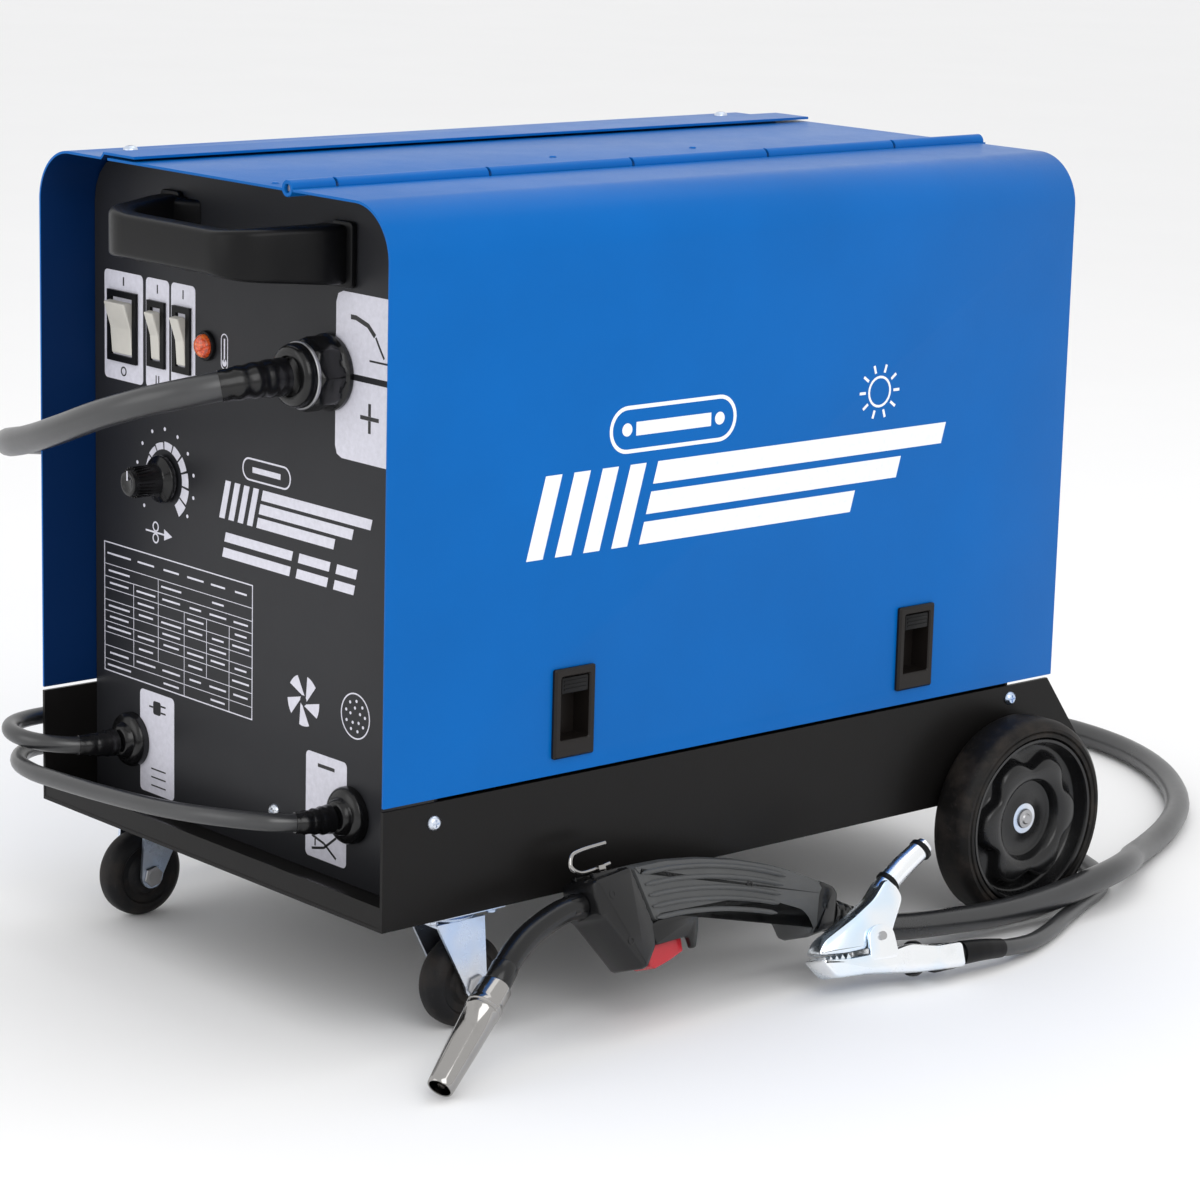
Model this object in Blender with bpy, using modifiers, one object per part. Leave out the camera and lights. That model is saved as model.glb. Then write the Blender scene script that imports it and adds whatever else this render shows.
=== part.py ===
"""MIG welder on a wheeled cart, with its torch, earth clamp and leads, as separate working pieces.

Metres. +X points to the latched door, +Y to the rear and +Z up, with the floor at z = 0.
Sizes are given from the machine's own datum: x = 0 on the centre plane of the shell and y = 0 at
the shell's front edge. The empty "frame" then carries that datum to the part's origin."""

import math

import bmesh
import bpy
from mathutils import Matrix, Vector

# The machine's datum, as seen from the part's origin: the centre of the base of its box.
DATUM = Vector((-0.03012, -0.26550, 0.0))

CLEARANCE = 0.0005  # between pieces that are fitted to each other
TOUCH = 0.0003  # between faces that rest on each other
RUNNING = 0.0004  # radial, between a pin and its bore

# Shell: folded steel sheet over a tray
SHELL_WIDTH = 0.325
SHELL_LENGTH = 0.515
SHELL_TOP = 0.457
SHELL_SHEET = 0.0015
SHELL_CORNER = 0.030
TRAY_CLEARANCE = 0.073  # under the tray
TRAY_WALL = 0.066
TRAY_SHEET = 0.002
TRAY_LIP = 0.0135
TRAY_OVERHANG = 0.043  # of the bottle shelf behind the shell
SHELL_GAP = 0.002  # between the tray's wall and the shell
PANEL_SETBACK = 0.036
PANEL_SHEET = 0.002
SIDE = SHELL_WIDTH / 2
TRAY_TOP = TRAY_CLEARANCE + TRAY_WALL
TRAY_FLOOR = TRAY_CLEARANCE + TRAY_SHEET
SHELL_BOTTOM = TRAY_TOP + SHELL_GAP
TRAY_REAR = SHELL_LENGTH + TRAY_OVERHANG

# Roof seam and hinge
SEAM_X = -0.067  # free edge of the left cover
SEAM_LAP = 0.030
SEAM_RISE = 0.003
HINGE_X = 0.074
KNUCKLE_RADIUS = 0.0045
HINGE_PIN_RADIUS = 0.0020
KNUCKLE_GAP = 0.0016
KNUCKLE_FIRST = 0.030
KNUCKLE_PITCH = 0.104
HINGE_TAIL = 0.008  # past the rear edge

# Latches on the door
LATCH_WIDTH = 0.029
LATCH_HEIGHT = 0.050
LATCH_PROUD = 0.003
LATCH_DEPTH = 0.012
LATCH_RIM = 0.0045
LATCH_SLIDER = 0.009
LATCH_TRAVEL = 0.006
LATCH_BASE = 0.009  # above the door's lower edge
LATCH_INSET = 0.129  # of the front latch from the front edge
LATCH_SPACING = 0.264

# Front handle
GRIP_REACH = 0.063
GRIP_THICKNESS = 0.015
GRIP_HEIGHT = 0.024
GRIP_SPAN = 0.124
FOOT_SPAN = 0.178
FOOT_HEIGHT = 0.036
HANDLE_Z = 0.421

# Controls on the front panel: x, z and outer sizes of each rocker switch
SWITCHES = (
    ("power", -0.1305, 0.355, 0.029, 0.041),
    ("range", -0.0965, 0.355, 0.017, 0.038),
    ("step", -0.0715, 0.355, 0.017, 0.038),
)
SWITCH_RIM = 0.0025
SWITCH_PROUD = 0.002
SWITCH_DEPTH = 0.018
ROCKER_TILT = math.radians(11)
LAMP_X, LAMP_Z = -0.048, 0.355
LAMP_RADIUS = 0.0085
KNOB_X, KNOB_Z = -0.089, 0.273
KNOB_LENGTH = 0.026
KNOB_RADIUS = 0.011
KNOB_SHAFT = 0.003
OUTLET_X, OUTLET_Z = 0.066, 0.356
OUTLET_RADIUS = 0.020
OUTLET_LENGTH = 0.030
GROMMET_RADIUS = 0.016
GROMMET_LENGTH = 0.012
MAINS_X, MAINS_Z = -0.121, 0.113
EARTH_X, EARTH_Z = 0.088, 0.115

# Running gear
CASTER_RADIUS = 0.026
CASTER_WIDTH = 0.019
CASTER_X = 0.136
CASTER_Y = 0.063
CASTER_TRAIL = 0.013
CASTER_PLATE = 0.0025
CASTER_PIN_RADIUS = 0.004
FORK_SHEET = 0.002
FORK_GAP = 0.002  # on each side of the wheel
RACE_RADIUS = 0.015
RACE_HEIGHT = 0.005
WHEEL_RADIUS = 0.062
WHEEL_WIDTH = 0.028
WHEEL_Y = 0.472
WHEEL_GAP = 0.0035  # from the shell's side to the wheel
TYRE_DEPTH = 0.011
AXLE_RADIUS = 0.006
AXLE_END = 0.004  # past the hub's boss

# Inside
DIVIDER_X = 0.012
SPOOL_RADIUS = 0.100
SPOOL_WIDTH = 0.050
SPOOL_CORE = 0.026
SPOOL_FLANGE = 0.003
SPOOL_Y, SPOOL_Z = 0.345, 0.290
SPOOL_STANDOFF = 0.018
ROLLER_RADIUS = 0.015
ROLLER_WIDTH = 0.012
ROLLER_Y = 0.120
FAN_RADIUS = 0.062
FAN_X, FAN_Z = -0.080, 0.280
CORE_WIDTH = 0.110
CORE_HEIGHT = 0.120
CORE_LENGTH = 0.070
CORE_LIMB = 0.022
CORE_X, CORE_Y = -0.085, 0.190

# Torch: a frame that leans its top towards the tray's side, with the nozzle on the floor.
# In it, y runs from the nozzle to the cable and z from the trigger to the back of the handle.
TORCH_AT = Vector((0.1856, 0.2468, 0.0484))
TORCH_TURN = math.radians(5)
TORCH_LEAN = math.radians(-20)
TORCH_HALF = 0.014
NECK_RADIUS = 0.0075
TRIGGER_PIVOT = (-0.0710, -0.0040)
# Earth clamp, in a frame of the same kind
CLAMP_AT = Vector((0.229, 0.300, 0.0200))
CLAMP_TURN = math.radians(-10)
CLAMP_LEAN = math.radians(-20)
CLAMP_PIVOT = (0.003, 0.0105)
JAW_HALF = 0.0075
EAR_SHEET = 0.0025
CLAMP_PIN_RADIUS = 0.0025

# Leads: diameters, and the points that each one's centre passes through, from the machine's datum
TORCH_LEAD = 0.016
EARTH_LEAD = 0.010
MAINS_LEAD = 0.010
COIL_AT = Vector((-0.135, 0.650, 0.0))
COIL_INNER = 0.047
COIL_TURNS_WIDE = 2
COIL_HEIGHT = 0.0195
COIL_EXIT = 0.045  # radius of the lead's way from the coil to its plug
TORCH_ROUTE = (
    (0.066, 0.0055, 0.356), (0.066, -0.006, 0.356), (0.0625, -0.025, 0.3545), (0.050, -0.044, 0.350),
    (0.028, -0.057, 0.343), (-0.005, -0.0635, 0.332), (-0.045, -0.0625, 0.318), (-0.085, -0.0555, 0.306),
    (-0.120, -0.0455, 0.2975), (-0.1505, -0.0285, 0.2915), (-0.1745, -0.0025, 0.286), (-0.186, 0.033, 0.279),
    (-0.193, 0.075, 0.267), (-0.199, 0.125, 0.247), (-0.206, 0.185, 0.217), (-0.215, 0.260, 0.172),
    (-0.223, 0.350, 0.110), (-0.229, 0.440, 0.052), (-0.232, 0.520, 0.018),
    (-0.233, 0.590, 0.0088), (-0.230, 0.655, 0.0085), (-0.216, 0.715, 0.0085), (-0.187, 0.765, 0.0085),
    (-0.145, 0.797, 0.0085), (-0.092, 0.811, 0.0085), (-0.035, 0.807, 0.0085), (0.016, 0.788, 0.0085),
    (0.060, 0.758, 0.0085), (0.099, 0.719, 0.0085), (0.130, 0.671, 0.0085), (0.151, 0.627, 0.0088),
    (0.168, 0.595, 0.0125), (0.186, 0.570, 0.0180), (0.200, 0.540, 0.0205), (0.2065, 0.508, 0.0198),
    (0.2065, 0.470, 0.0160), (0.2035, 0.430, 0.0142), (0.1975, 0.395, 0.0145), (0.193, 0.362, 0.0165),
    (0.190, 0.337, 0.0207), (0.1875, 0.3185, 0.0270), (0.1862, 0.3035, 0.0335),
)
EARTH_ROUTE = (
    (0.088, 0.0228, 0.115), (0.088, 0.017, 0.115), (0.086, 0.004, 0.1155), (0.078, -0.012, 0.1165),
    (0.052, -0.027, 0.116), (0.010, -0.033, 0.112), (-0.040, -0.034, 0.108), (-0.090, -0.034, 0.105),
    (-0.124, -0.032, 0.103), (-0.149, -0.025, 0.102), (-0.169, -0.010, 0.101), (-0.182, 0.012, 0.099),
    (-0.190, 0.045, 0.093), (-0.195, 0.090, 0.082), (-0.199, 0.140, 0.066), (-0.203, 0.195, 0.047),
    (-0.207, 0.255, 0.0265), (-0.211, 0.320, 0.0110), (-0.214, 0.385, 0.0057), (-0.216, 0.450, 0.0055),
    (-0.217, 0.530, 0.0055), (-0.217, 0.600, 0.0055), (-0.2125, 0.662, 0.0055), (-0.194, 0.716, 0.0055), (-0.160, 0.746, 0.0055),
    (-0.120, 0.752, 0.0055), (-0.080, 0.733, 0.0055), (-0.035, 0.697, 0.0055), (0.016, 0.655, 0.0055),
    (0.062, 0.620, 0.0055), (0.105, 0.593, 0.0055), (0.142, 0.578, 0.0055), (0.170, 0.563, 0.0055),
    (0.189, 0.540, 0.0055), (0.201, 0.512, 0.0055), (0.214, 0.482, 0.0055), (0.228, 0.452, 0.0055),
    (0.238, 0.425, 0.0065), (0.243, 0.400, 0.0095), (0.2435, 0.378, 0.0125), (0.2415, 0.3578, 0.0134),
)
MAINS_ROUTE = (
    (-0.121, 0.0228, 0.113), (-0.121, 0.013, 0.1132), (-0.1245, -0.002, 0.114), (-0.134, -0.0145, 0.115),
    (-0.148, -0.0215, 0.116), (-0.164, -0.0205, 0.1165), (-0.178, -0.0115, 0.1165), (-0.1865, 0.005, 0.116),
    (-0.1895, 0.030, 0.115), (-0.1895, 0.070, 0.110), (-0.1895, 0.120, 0.098), (-0.191, 0.180, 0.077),
    (-0.1935, 0.240, 0.051), (-0.197, 0.300, 0.0260), (-0.200, 0.360, 0.0085), (-0.202, 0.430, 0.0055),
    (-0.2035, 0.510, 0.0055), (-0.2035, 0.555, 0.0055), (-0.2015, 0.585, 0.0055), (-0.1975, 0.613, 0.0055),
)


def clear_scene():
    for item in list(bpy.data.objects):
        bpy.data.objects.remove(item, do_unlink=True)


def collection(name):
    group = bpy.data.collections.new(name)
    bpy.context.scene.collection.children.link(group)
    return group


def finish(name, colour, roughness, metallic=0.0):
    material = bpy.data.materials.new(name)
    material.use_nodes = True
    shader = material.node_tree.nodes["Principled BSDF"]
    shader.inputs["Base Color"].default_value = (*colour, 1.0)
    shader.inputs["Roughness"].default_value = roughness
    shader.inputs["Metallic"].default_value = metallic
    material.diffuse_color = (*colour, 1.0)
    return material


clear_scene()
PIECES = collection("mig_welder_on_cart")
CUTTERS = collection("cutters")
BLUE = finish("blue_powder_coat", (0.008, 0.130, 0.420), 0.35)
BLACK = finish("black_powder_coat", (0.012, 0.012, 0.013), 0.45)
GREY = finish("grey_panel_paint", (0.045, 0.048, 0.055), 0.40)
PLASTIC = finish("black_plastic", (0.010, 0.010, 0.011), 0.45)
HANDLE_GREY = finish("grey_plastic", (0.055, 0.058, 0.060), 0.50)
IVORY = finish("ivory_plastic", (0.70, 0.68, 0.64), 0.35)
AMBER = finish("amber_lens", (0.80, 0.10, 0.01), 0.15)
RED = finish("red_plastic", (0.55, 0.02, 0.03), 0.40)
RUBBER = finish("rubber", (0.014, 0.014, 0.015), 0.60)
ZINC = finish("zinc_plate", (0.62, 0.64, 0.68), 0.30, 1.0)
CHROME = finish("bright_chrome", (0.70, 0.68, 0.66), 0.08, 1.0)
STEEL = finish("plain_steel", (0.45, 0.45, 0.46), 0.35, 1.0)
COPPER = finish("winding", (0.60, 0.28, 0.12), 0.40, 1.0)
WIRE = finish("coppered_wire", (0.72, 0.42, 0.26), 0.30, 1.0)


def empty(name, at, turn=0.0, lean=0.0, parent=None):
    """An empty that stands at a point, turned about Z after it is leant about Y."""
    item = bpy.data.objects.new(name, None)
    PIECES.objects.link(item)
    item.parent = parent
    item.matrix_local = Matrix.Translation(at) @ Matrix.Rotation(turn, 4, "Z") @ Matrix.Rotation(lean, 4, "Y")
    return item


FRAME = empty("frame", DATUM)
TORCH = empty("torch_frame", TORCH_AT, TORCH_TURN, TORCH_LEAN, FRAME)
CLAMP = empty("clamp_frame", CLAMP_AT, CLAMP_TURN, CLAMP_LEAN, FRAME)


def place(name, data, material, at=(0, 0, 0), turn=None, parent=None, group=None):
    """An object of that mesh or curve, with its origin at a point of its parent's frame."""
    item = bpy.data.objects.new(name, data)
    (group or PIECES).objects.link(item)
    item.parent = parent or FRAME
    item.matrix_local = Matrix.Translation(Vector(at)) @ (turn or Matrix()).to_4x4()
    data.materials.append(material)
    if group is CUTTERS:
        item.hide_render = True
        item.display_type = "WIRE"
    return item


def mesh_from(bm, name):
    mesh = bpy.data.meshes.new(name)
    bm.to_mesh(mesh)
    bm.free()
    return mesh


def box(name, low, high, material=PLASTIC, **where):
    """A box between two corners, which are given from the object's own origin."""
    low, high = Vector(low), Vector(high)
    bm = bmesh.new()
    bmesh.ops.create_cube(bm, size=1.0)
    size = high - low
    bmesh.ops.transform(bm, matrix=Matrix.Translation((low + high) / 2) @ Matrix.Diagonal((*size, 1.0)), verts=bm.verts)
    return place(name, mesh_from(bm, name), material, **where)


AXIS_TURN = {
    "X": Matrix.Rotation(math.radians(90), 3, "Y"),
    "-X": Matrix.Rotation(math.radians(-90), 3, "Y"),
    "Y": Matrix.Rotation(math.radians(-90), 3, "X"),
    "-Y": Matrix.Rotation(math.radians(90), 3, "X"),
    "Z": Matrix.Identity(3),
}


def along(direction):
    """The turn that takes +Z to a direction."""
    return Vector(direction).to_track_quat("Z", "Y").to_matrix()


def rod(name, radius, length, axis, material=STEEL, segments=20, **where):
    """A cylinder that starts at its origin and runs along an axis."""
    bm = bmesh.new()
    bmesh.ops.create_cone(bm, cap_ends=True, segments=segments, radius1=radius, radius2=radius, depth=length)
    bmesh.ops.translate(bm, vec=(0, 0, length / 2), verts=bm.verts)
    turn = AXIS_TURN[axis] if isinstance(axis, str) else along(axis)
    return place(name, mesh_from(bm, name), material, turn=turn, **where)


def turned(name, profile, axis, material, closed=False, steps=28, **where):
    """A turned piece: radius and height points down its outer side, and back up its bore if closed."""
    bm = bmesh.new()
    points = [bm.verts.new((radius, 0.0, height)) for radius, height in profile]
    for first, second in zip(points, points[1:]):
        bm.edges.new((first, second))
    if closed:
        bm.edges.new((points[-1], points[0]))
    turn = AXIS_TURN[axis] if isinstance(axis, str) else along(axis)
    item = place(name, mesh_from(bm, name), material, turn=turn, **where)
    screw = item.modifiers.new("turn", "SCREW")
    screw.axis = "Z"
    screw.steps = screw.render_steps = steps
    screw.use_merge_vertices = True
    screw.merge_threshold = 0.00001
    screw.use_smooth_shade = True
    return item


PLANE_TURN = {
    "XY": Matrix.Identity(3),
    "XZ": Matrix.Rotation(math.radians(90), 3, "X"),
    "YZ": Matrix(((0, 0, 1), (1, 0, 0), (0, 1, 0))),
}


def plate(name, loops, thickness, plane, material, **where):
    """A flat piece with holes: loops of points in its plane, the outer one first, thick on both sides."""
    curve = bpy.data.curves.new(name, "CURVE")
    curve.dimensions = "2D"
    curve.fill_mode = "BOTH"
    curve.extrude = thickness / 2
    for loop in loops:
        spline = curve.splines.new("POLY")
        spline.points.add(len(loop) - 1)
        spline.use_cyclic_u = True
        for point, (a, b) in zip(spline.points, loop):
            point.co = (a, b, 0.0, 1.0)
    return place(name, curve, material, turn=PLANE_TURN[plane], **where)


def solid(item):
    """The same piece as a plain closed mesh, so that it can be cut and joined."""
    bpy.context.view_layer.update()
    graph = bpy.context.evaluated_depsgraph_get()
    mesh = bpy.data.meshes.new_from_object(item.evaluated_get(graph))
    bm = bmesh.new()
    bm.from_mesh(mesh)
    bmesh.ops.remove_doubles(bm, verts=bm.verts, dist=0.000001)
    bmesh.ops.recalc_face_normals(bm, faces=bm.faces)
    bm.to_mesh(mesh)
    bm.free()
    fresh = bpy.data.objects.new(item.name, mesh)
    for group in item.users_collection:
        group.objects.link(fresh)
    fresh.parent = item.parent
    fresh.matrix_local = item.matrix_local
    fresh.hide_render = item.hide_render
    fresh.display_type = item.display_type
    name = item.name
    bpy.data.objects.remove(item, do_unlink=True)
    fresh.name = name
    return fresh


def combine(item, others, operation):
    """Each of the other solids cut from the item, joined to it or kept in common with it."""
    for other in others:
        if other.type == "CURVE":
            other = solid(other)
        if CUTTERS not in other.users_collection:
            PIECES.objects.unlink(other)
            CUTTERS.objects.link(other)
        other.hide_render = True
        other.display_type = "WIRE"
        step = item.modifiers.new(operation.lower(), "BOOLEAN")
        step.operation = operation
        step.object = other
    return item


def bevel(item, width, segments=2):
    step = item.modifiers.new("bevel", "BEVEL")
    step.width = width
    step.segments = segments
    step.limit_method = "ANGLE"
    step.angle_limit = math.radians(35)
    return item


def arc(centre, radius, start, end, steps):
    """Points of an arc, by degrees."""
    angles = [math.radians(start + (end - start) * step / steps) for step in range(steps + 1)]
    return [(centre[0] + radius * math.cos(a), centre[1] + radius * math.sin(a)) for a in angles]


def ring_of(centre, radius, count=24):
    return arc(centre, radius, 0, 360 * (count - 1) / count, count - 1)


def rectangle(low, high):
    return [low, (high[0], low[1]), high, (low[0], high[1])]


def rounded(points, radii, steps=5):
    """A polygon with arcs at its corners."""
    outline = []
    for index, (point, radius) in enumerate(zip(points, radii)):
        here = Vector(point)
        if radius == 0:
            outline.append(tuple(here))
            continue
        before = (Vector(points[index - 1]) - here).normalized()
        after = (Vector(points[(index + 1) % len(points)]) - here).normalized()
        half = before.angle(after) / 2
        reach = radius / math.tan(half)
        centre = here + (before + after).normalized() * radius / math.sin(half)
        first, last = here + before * reach - centre, here + after * reach - centre
        sweep = first.angle_signed(last)
        for step in range(steps + 1):
            arm = first.copy()
            arm.rotate(Matrix.Rotation(-sweep * step / steps, 2))
            outline.append(tuple(centre + arm))
    return outline


def folded(name, profile, front, rear, thickness, material, **where):
    """A folded sheet: its outer profile in X and Z, swept along Y, with its metal on the right hand."""
    bm = bmesh.new()
    points = [bm.verts.new((x, front, z)) for x, z in profile]
    edges = [bm.edges.new(pair) for pair in zip(points, points[1:])]
    swept = bmesh.ops.extrude_edge_only(bm, edges=edges)["geom"]
    bmesh.ops.translate(bm, vec=(0, rear - front, 0), verts=[v for v in swept if isinstance(v, bmesh.types.BMVert)])
    item = place(name, mesh_from(bm, name), material, **where)
    wall = item.modifiers.new("sheet", "SOLIDIFY")
    wall.thickness = thickness
    wall.offset = 1.0
    wall.use_even_offset = True
    return item


def smooth_route(points, turn=11.0, reach=0.060):
    """Points along one smooth curve through a route's own points, closer together where it bends."""
    route = [Vector(p) for p in points]
    route = [2 * route[0] - route[1], *route, 2 * route[-1] - route[-2]]
    dense = []
    for a, b, c, d in zip(route, route[1:], route[2:], route[3:]):
        knots = [0.0]
        for first, second in ((a, b), (b, c), (c, d)):
            knots.append(knots[-1] + math.sqrt((second - first).length))
        k0, k1, k2, k3 = knots
        for step in range(12):
            t = k1 + (k2 - k1) * step / 12
            ab = a.lerp(b, (t - k0) / (k1 - k0))
            bc = b.lerp(c, (t - k1) / (k2 - k1))
            cd = c.lerp(d, (t - k2) / (k3 - k2))
            left = ab.lerp(bc, (t - k0) / (k2 - k0))
            dense.append(left.lerp(bc.lerp(cd, (t - k1) / (k3 - k1)), (t - k1) / (k2 - k1)))
    dense.append(route[-2])
    kept, heading = [dense[0]], dense[1] - dense[0]
    for before, here, after in zip(dense, dense[1:], dense[2:]):
        bend = math.degrees(heading.angle(after - here))
        if bend > turn or (here - kept[-1]).length > reach:
            kept.append(here)
            heading = after - here
    if (kept[-1] - dense[-1]).length < 0.002:
        kept.pop()
    return [*kept, dense[-1]]


def tube(name, points, radius, material, sides=2, **where):
    """A round wire or lead along points, with filled ends."""
    curve = bpy.data.curves.new(name, "CURVE")
    curve.dimensions = "3D"
    curve.bevel_depth = radius
    curve.bevel_resolution = sides
    curve.use_fill_caps = True
    spline = curve.splines.new("POLY")
    spline.points.add(len(points) - 1)
    for point, at in zip(spline.points, points):
        point.co = (*at, 1.0)
    return place(name, curve, material, **where)


# ---------------------------------------------------------------- tray, shell and panels


def chassis_tray():
    profile = [(SIDE, TRAY_TOP), (SIDE, TRAY_CLEARANCE), (-SIDE, TRAY_CLEARANCE), (-SIDE, TRAY_TOP)]
    tray = folded("chassis_tray", profile, 0.0, TRAY_REAR, TRAY_SHEET, BLACK)
    inset = TRAY_SHEET / 2
    lip = box("tray_lip", (-SIDE + inset, 0.0002, TRAY_CLEARANCE + inset),
              (SIDE - inset, TRAY_SHEET, TRAY_CLEARANCE + TRAY_LIP), group=CUTTERS)
    rear_top = SHELL_LENGTH - 0.003
    corner = TRAY_CLEARANCE + 0.004
    slope = [(rear_top, TRAY_TOP + 0.01), (rear_top, TRAY_TOP), (TRAY_REAR, corner),
             (TRAY_REAR + 0.01, corner), (TRAY_REAR + 0.01, TRAY_TOP + 0.01)]
    wedge = plate("tray_slope", [slope], SHELL_WIDTH + 0.02, "YZ", BLACK, group=CUTTERS)
    combine(tray, [lip], "UNION")
    combine(tray, [wedge], "DIFFERENCE")
    return tray


def left_cover():
    corner = arc((-SIDE + SHELL_CORNER, SHELL_TOP - SHELL_CORNER), SHELL_CORNER, 180, 90, 7)
    lap = SEAM_X - SEAM_LAP
    profile = [(-SIDE, SHELL_BOTTOM), *corner, (lap - SEAM_RISE, SHELL_TOP), (lap, SHELL_TOP + SEAM_RISE),
               (SEAM_X, SHELL_TOP + SEAM_RISE)]
    return folded("left_cover", profile, 0.0, SHELL_LENGTH, SHELL_SHEET, BLUE)


def knuckles():
    """Start and end of each hinge knuckle, from the front."""
    cuts = [KNUCKLE_FIRST]
    while cuts[-1] + KNUCKLE_PITCH < SHELL_LENGTH:
        cuts.append(cuts[-1] + KNUCKLE_PITCH)
    starts = [0.0, *(c + KNUCKLE_GAP / 2 for c in cuts)]
    ends = [*(c - KNUCKLE_GAP / 2 for c in cuts), SHELL_LENGTH + HINGE_TAIL]
    return list(zip(starts, ends))


def knuckle(name, start, end, side):
    """A rolled knuckle with a tab that reaches into the sheet on one side of the hinge."""
    bend = math.degrees(math.asin(SHELL_SHEET * 0.8 / KNUCKLE_RADIUS))
    barrel = arc((0, 0), KNUCKLE_RADIUS, 178, -180 + bend, 18)
    reach = KNUCKLE_RADIUS + CLEARANCE + 0.002
    outline = [(-reach, barrel[0][1]), *barrel, (-reach, barrel[-1][1])]
    bore = ring_of((0, 0), HINGE_PIN_RADIUS + RUNNING, 16)
    if side > 0:
        outline = [(-x, z) for x, z in outline]
    return plate(name, [outline, bore], end - start, "XZ", BLUE,
                 at=(HINGE_X, (start + end) / 2, SHELL_TOP), group=CUTTERS)


def roof_panel():
    start = SEAM_X - SEAM_LAP + 0.004
    profile = [(start, SHELL_TOP), (HINGE_X - KNUCKLE_RADIUS - CLEARANCE, SHELL_TOP)]
    roof = folded("roof_panel", profile, 0.0, SHELL_LENGTH, SHELL_SHEET, BLUE)
    fixed = [knuckle(f"roof_knuckle_{n}", *span, -1) for n, span in enumerate(knuckles()) if n % 2 == 0]
    return combine(roof, fixed, "UNION")


def latch_centres():
    return (("front", LATCH_INSET), ("rear", LATCH_INSET + LATCH_SPACING))


def latch_base():
    return SHELL_BOTTOM + LATCH_BASE


def side_door():
    corner = arc((SIDE - SHELL_CORNER, SHELL_TOP - SHELL_CORNER), SHELL_CORNER, 90, 0, 7)
    profile = [(HINGE_X + KNUCKLE_RADIUS + CLEARANCE, SHELL_TOP), *corner, (SIDE, SHELL_BOTTOM)]
    origin = Vector((HINGE_X, 0.0, SHELL_TOP))
    local = [(x - origin.x, z - origin.z) for x, z in profile]
    door = folded("side_door", local, 0.0, SHELL_LENGTH, SHELL_SHEET, BLUE, at=origin)
    moving = [knuckle(f"door_knuckle_{n}", *span, 1) for n, span in enumerate(knuckles()) if n % 2 == 1]
    half = LATCH_WIDTH / 2 - 0.002
    holes = [box(f"latch_hole_{name}", (SIDE - 0.02, y - half, latch_base() + 0.002),
                 (SIDE + 0.02, y + half, latch_base() + LATCH_HEIGHT - 0.002), group=CUTTERS)
             for name, y in latch_centres()]
    combine(door, moving, "UNION")
    combine(door, holes, "DIFFERENCE")
    return door


def hinge_pin():
    return rod("hinge_pin", HINGE_PIN_RADIUS, SHELL_LENGTH + HINGE_TAIL - 0.004, "Y", STEEL, 12,
               at=(HINGE_X, 0.002, SHELL_TOP))


def latch(name, y):
    """A pocketed housing that is pushed through the door, and the slider that springs in its pocket."""
    low, high = latch_base(), latch_base() + LATCH_HEIGHT
    half = LATCH_WIDTH / 2
    fit = 0.002 + CLEARANCE
    housing = box(f"latch_housing_{name}", (SIDE + TOUCH, y - half, low), (SIDE + LATCH_PROUD, y + half, high))
    body = box(f"latch_body_{name}", (SIDE - LATCH_DEPTH, y - half + fit, low + fit),
               (SIDE + LATCH_PROUD / 2, y + half - fit, high - fit), group=CUTTERS)
    pocket = [(SIDE - LATCH_DEPTH + 0.0015, y - half + LATCH_RIM, low + 0.010),
              (SIDE + LATCH_PROUD + 0.01, y + half - LATCH_RIM, high - LATCH_RIM)]
    combine(housing, [body], "UNION")
    combine(housing, [box(f"latch_pocket_{name}", *pocket, group=CUTTERS)], "DIFFERENCE")
    slider = box(f"latch_slider_{name}",
                 (pocket[0][0] + CLEARANCE, pocket[0][1] + CLEARANCE, pocket[1][2] - CLEARANCE - LATCH_SLIDER),
                 (SIDE + LATCH_PROUD - 0.0004, pocket[1][1] - CLEARANCE, pocket[1][2] - CLEARANCE))
    bevel(slider, 0.0006, 1)


def panel_outline():
    gap = SHELL_SHEET + 0.001
    low, high = TRAY_FLOOR + TOUCH, SHELL_TOP - KNUCKLE_RADIUS - CLEARANCE
    half = SIDE - max(gap, TRAY_SHEET + 0.0005)
    radius = SHELL_CORNER - gap
    return rounded([(-half, low), (half, low), (half, high), (-half, high)], [0, 0, radius, radius])


def front_panel():
    holes = []
    for _, x, z, width, height in SWITCHES:
        w, h = width / 2 - SWITCH_RIM + CLEARANCE, height / 2 - SWITCH_RIM + CLEARANCE
        holes.append(rectangle((x - w, z - h), (x + w, z + h)))
    for x, z, radius in panel_holes():
        holes.append(ring_of((x, z), radius + CLEARANCE, 20))
    return plate("front_panel", [panel_outline(), *holes], PANEL_SHEET, "XZ", GREY,
                 at=(0, PANEL_SETBACK + PANEL_SHEET / 2, 0))


def shank(radius):
    return radius * 0.62


def panel_holes():
    """Round holes in the front panel: x, z and the radius of what passes through."""
    return (
        (LAMP_X, LAMP_Z, shank(LAMP_RADIUS)),
        (KNOB_X, KNOB_Z, KNOB_SHAFT),
        (OUTLET_X, OUTLET_Z, shank(OUTLET_RADIUS)),
        (MAINS_X, MAINS_Z, shank(GROMMET_RADIUS)),
        (EARTH_X, EARTH_Z, shank(GROMMET_RADIUS)),
    )


def louvres():
    """Vent slots of the rear panel, in rows on the fan's side."""
    slots = []
    for row in range(7):
        z = FAN_Z - 0.048 + row * 0.016
        slots.append(rectangle((FAN_X - 0.045, z - 0.003), (FAN_X + 0.045, z + 0.003)))
    return slots


def rear_panel():
    gas = ring_of((0.085, 0.330), shank(0.009) + CLEARANCE, 16)
    return plate("rear_panel", [panel_outline(), gas, *louvres()], PANEL_SHEET, "XZ", GREY,
                 at=(0, SHELL_LENGTH - PANEL_SETBACK - PANEL_SHEET / 2, 0))


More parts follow.
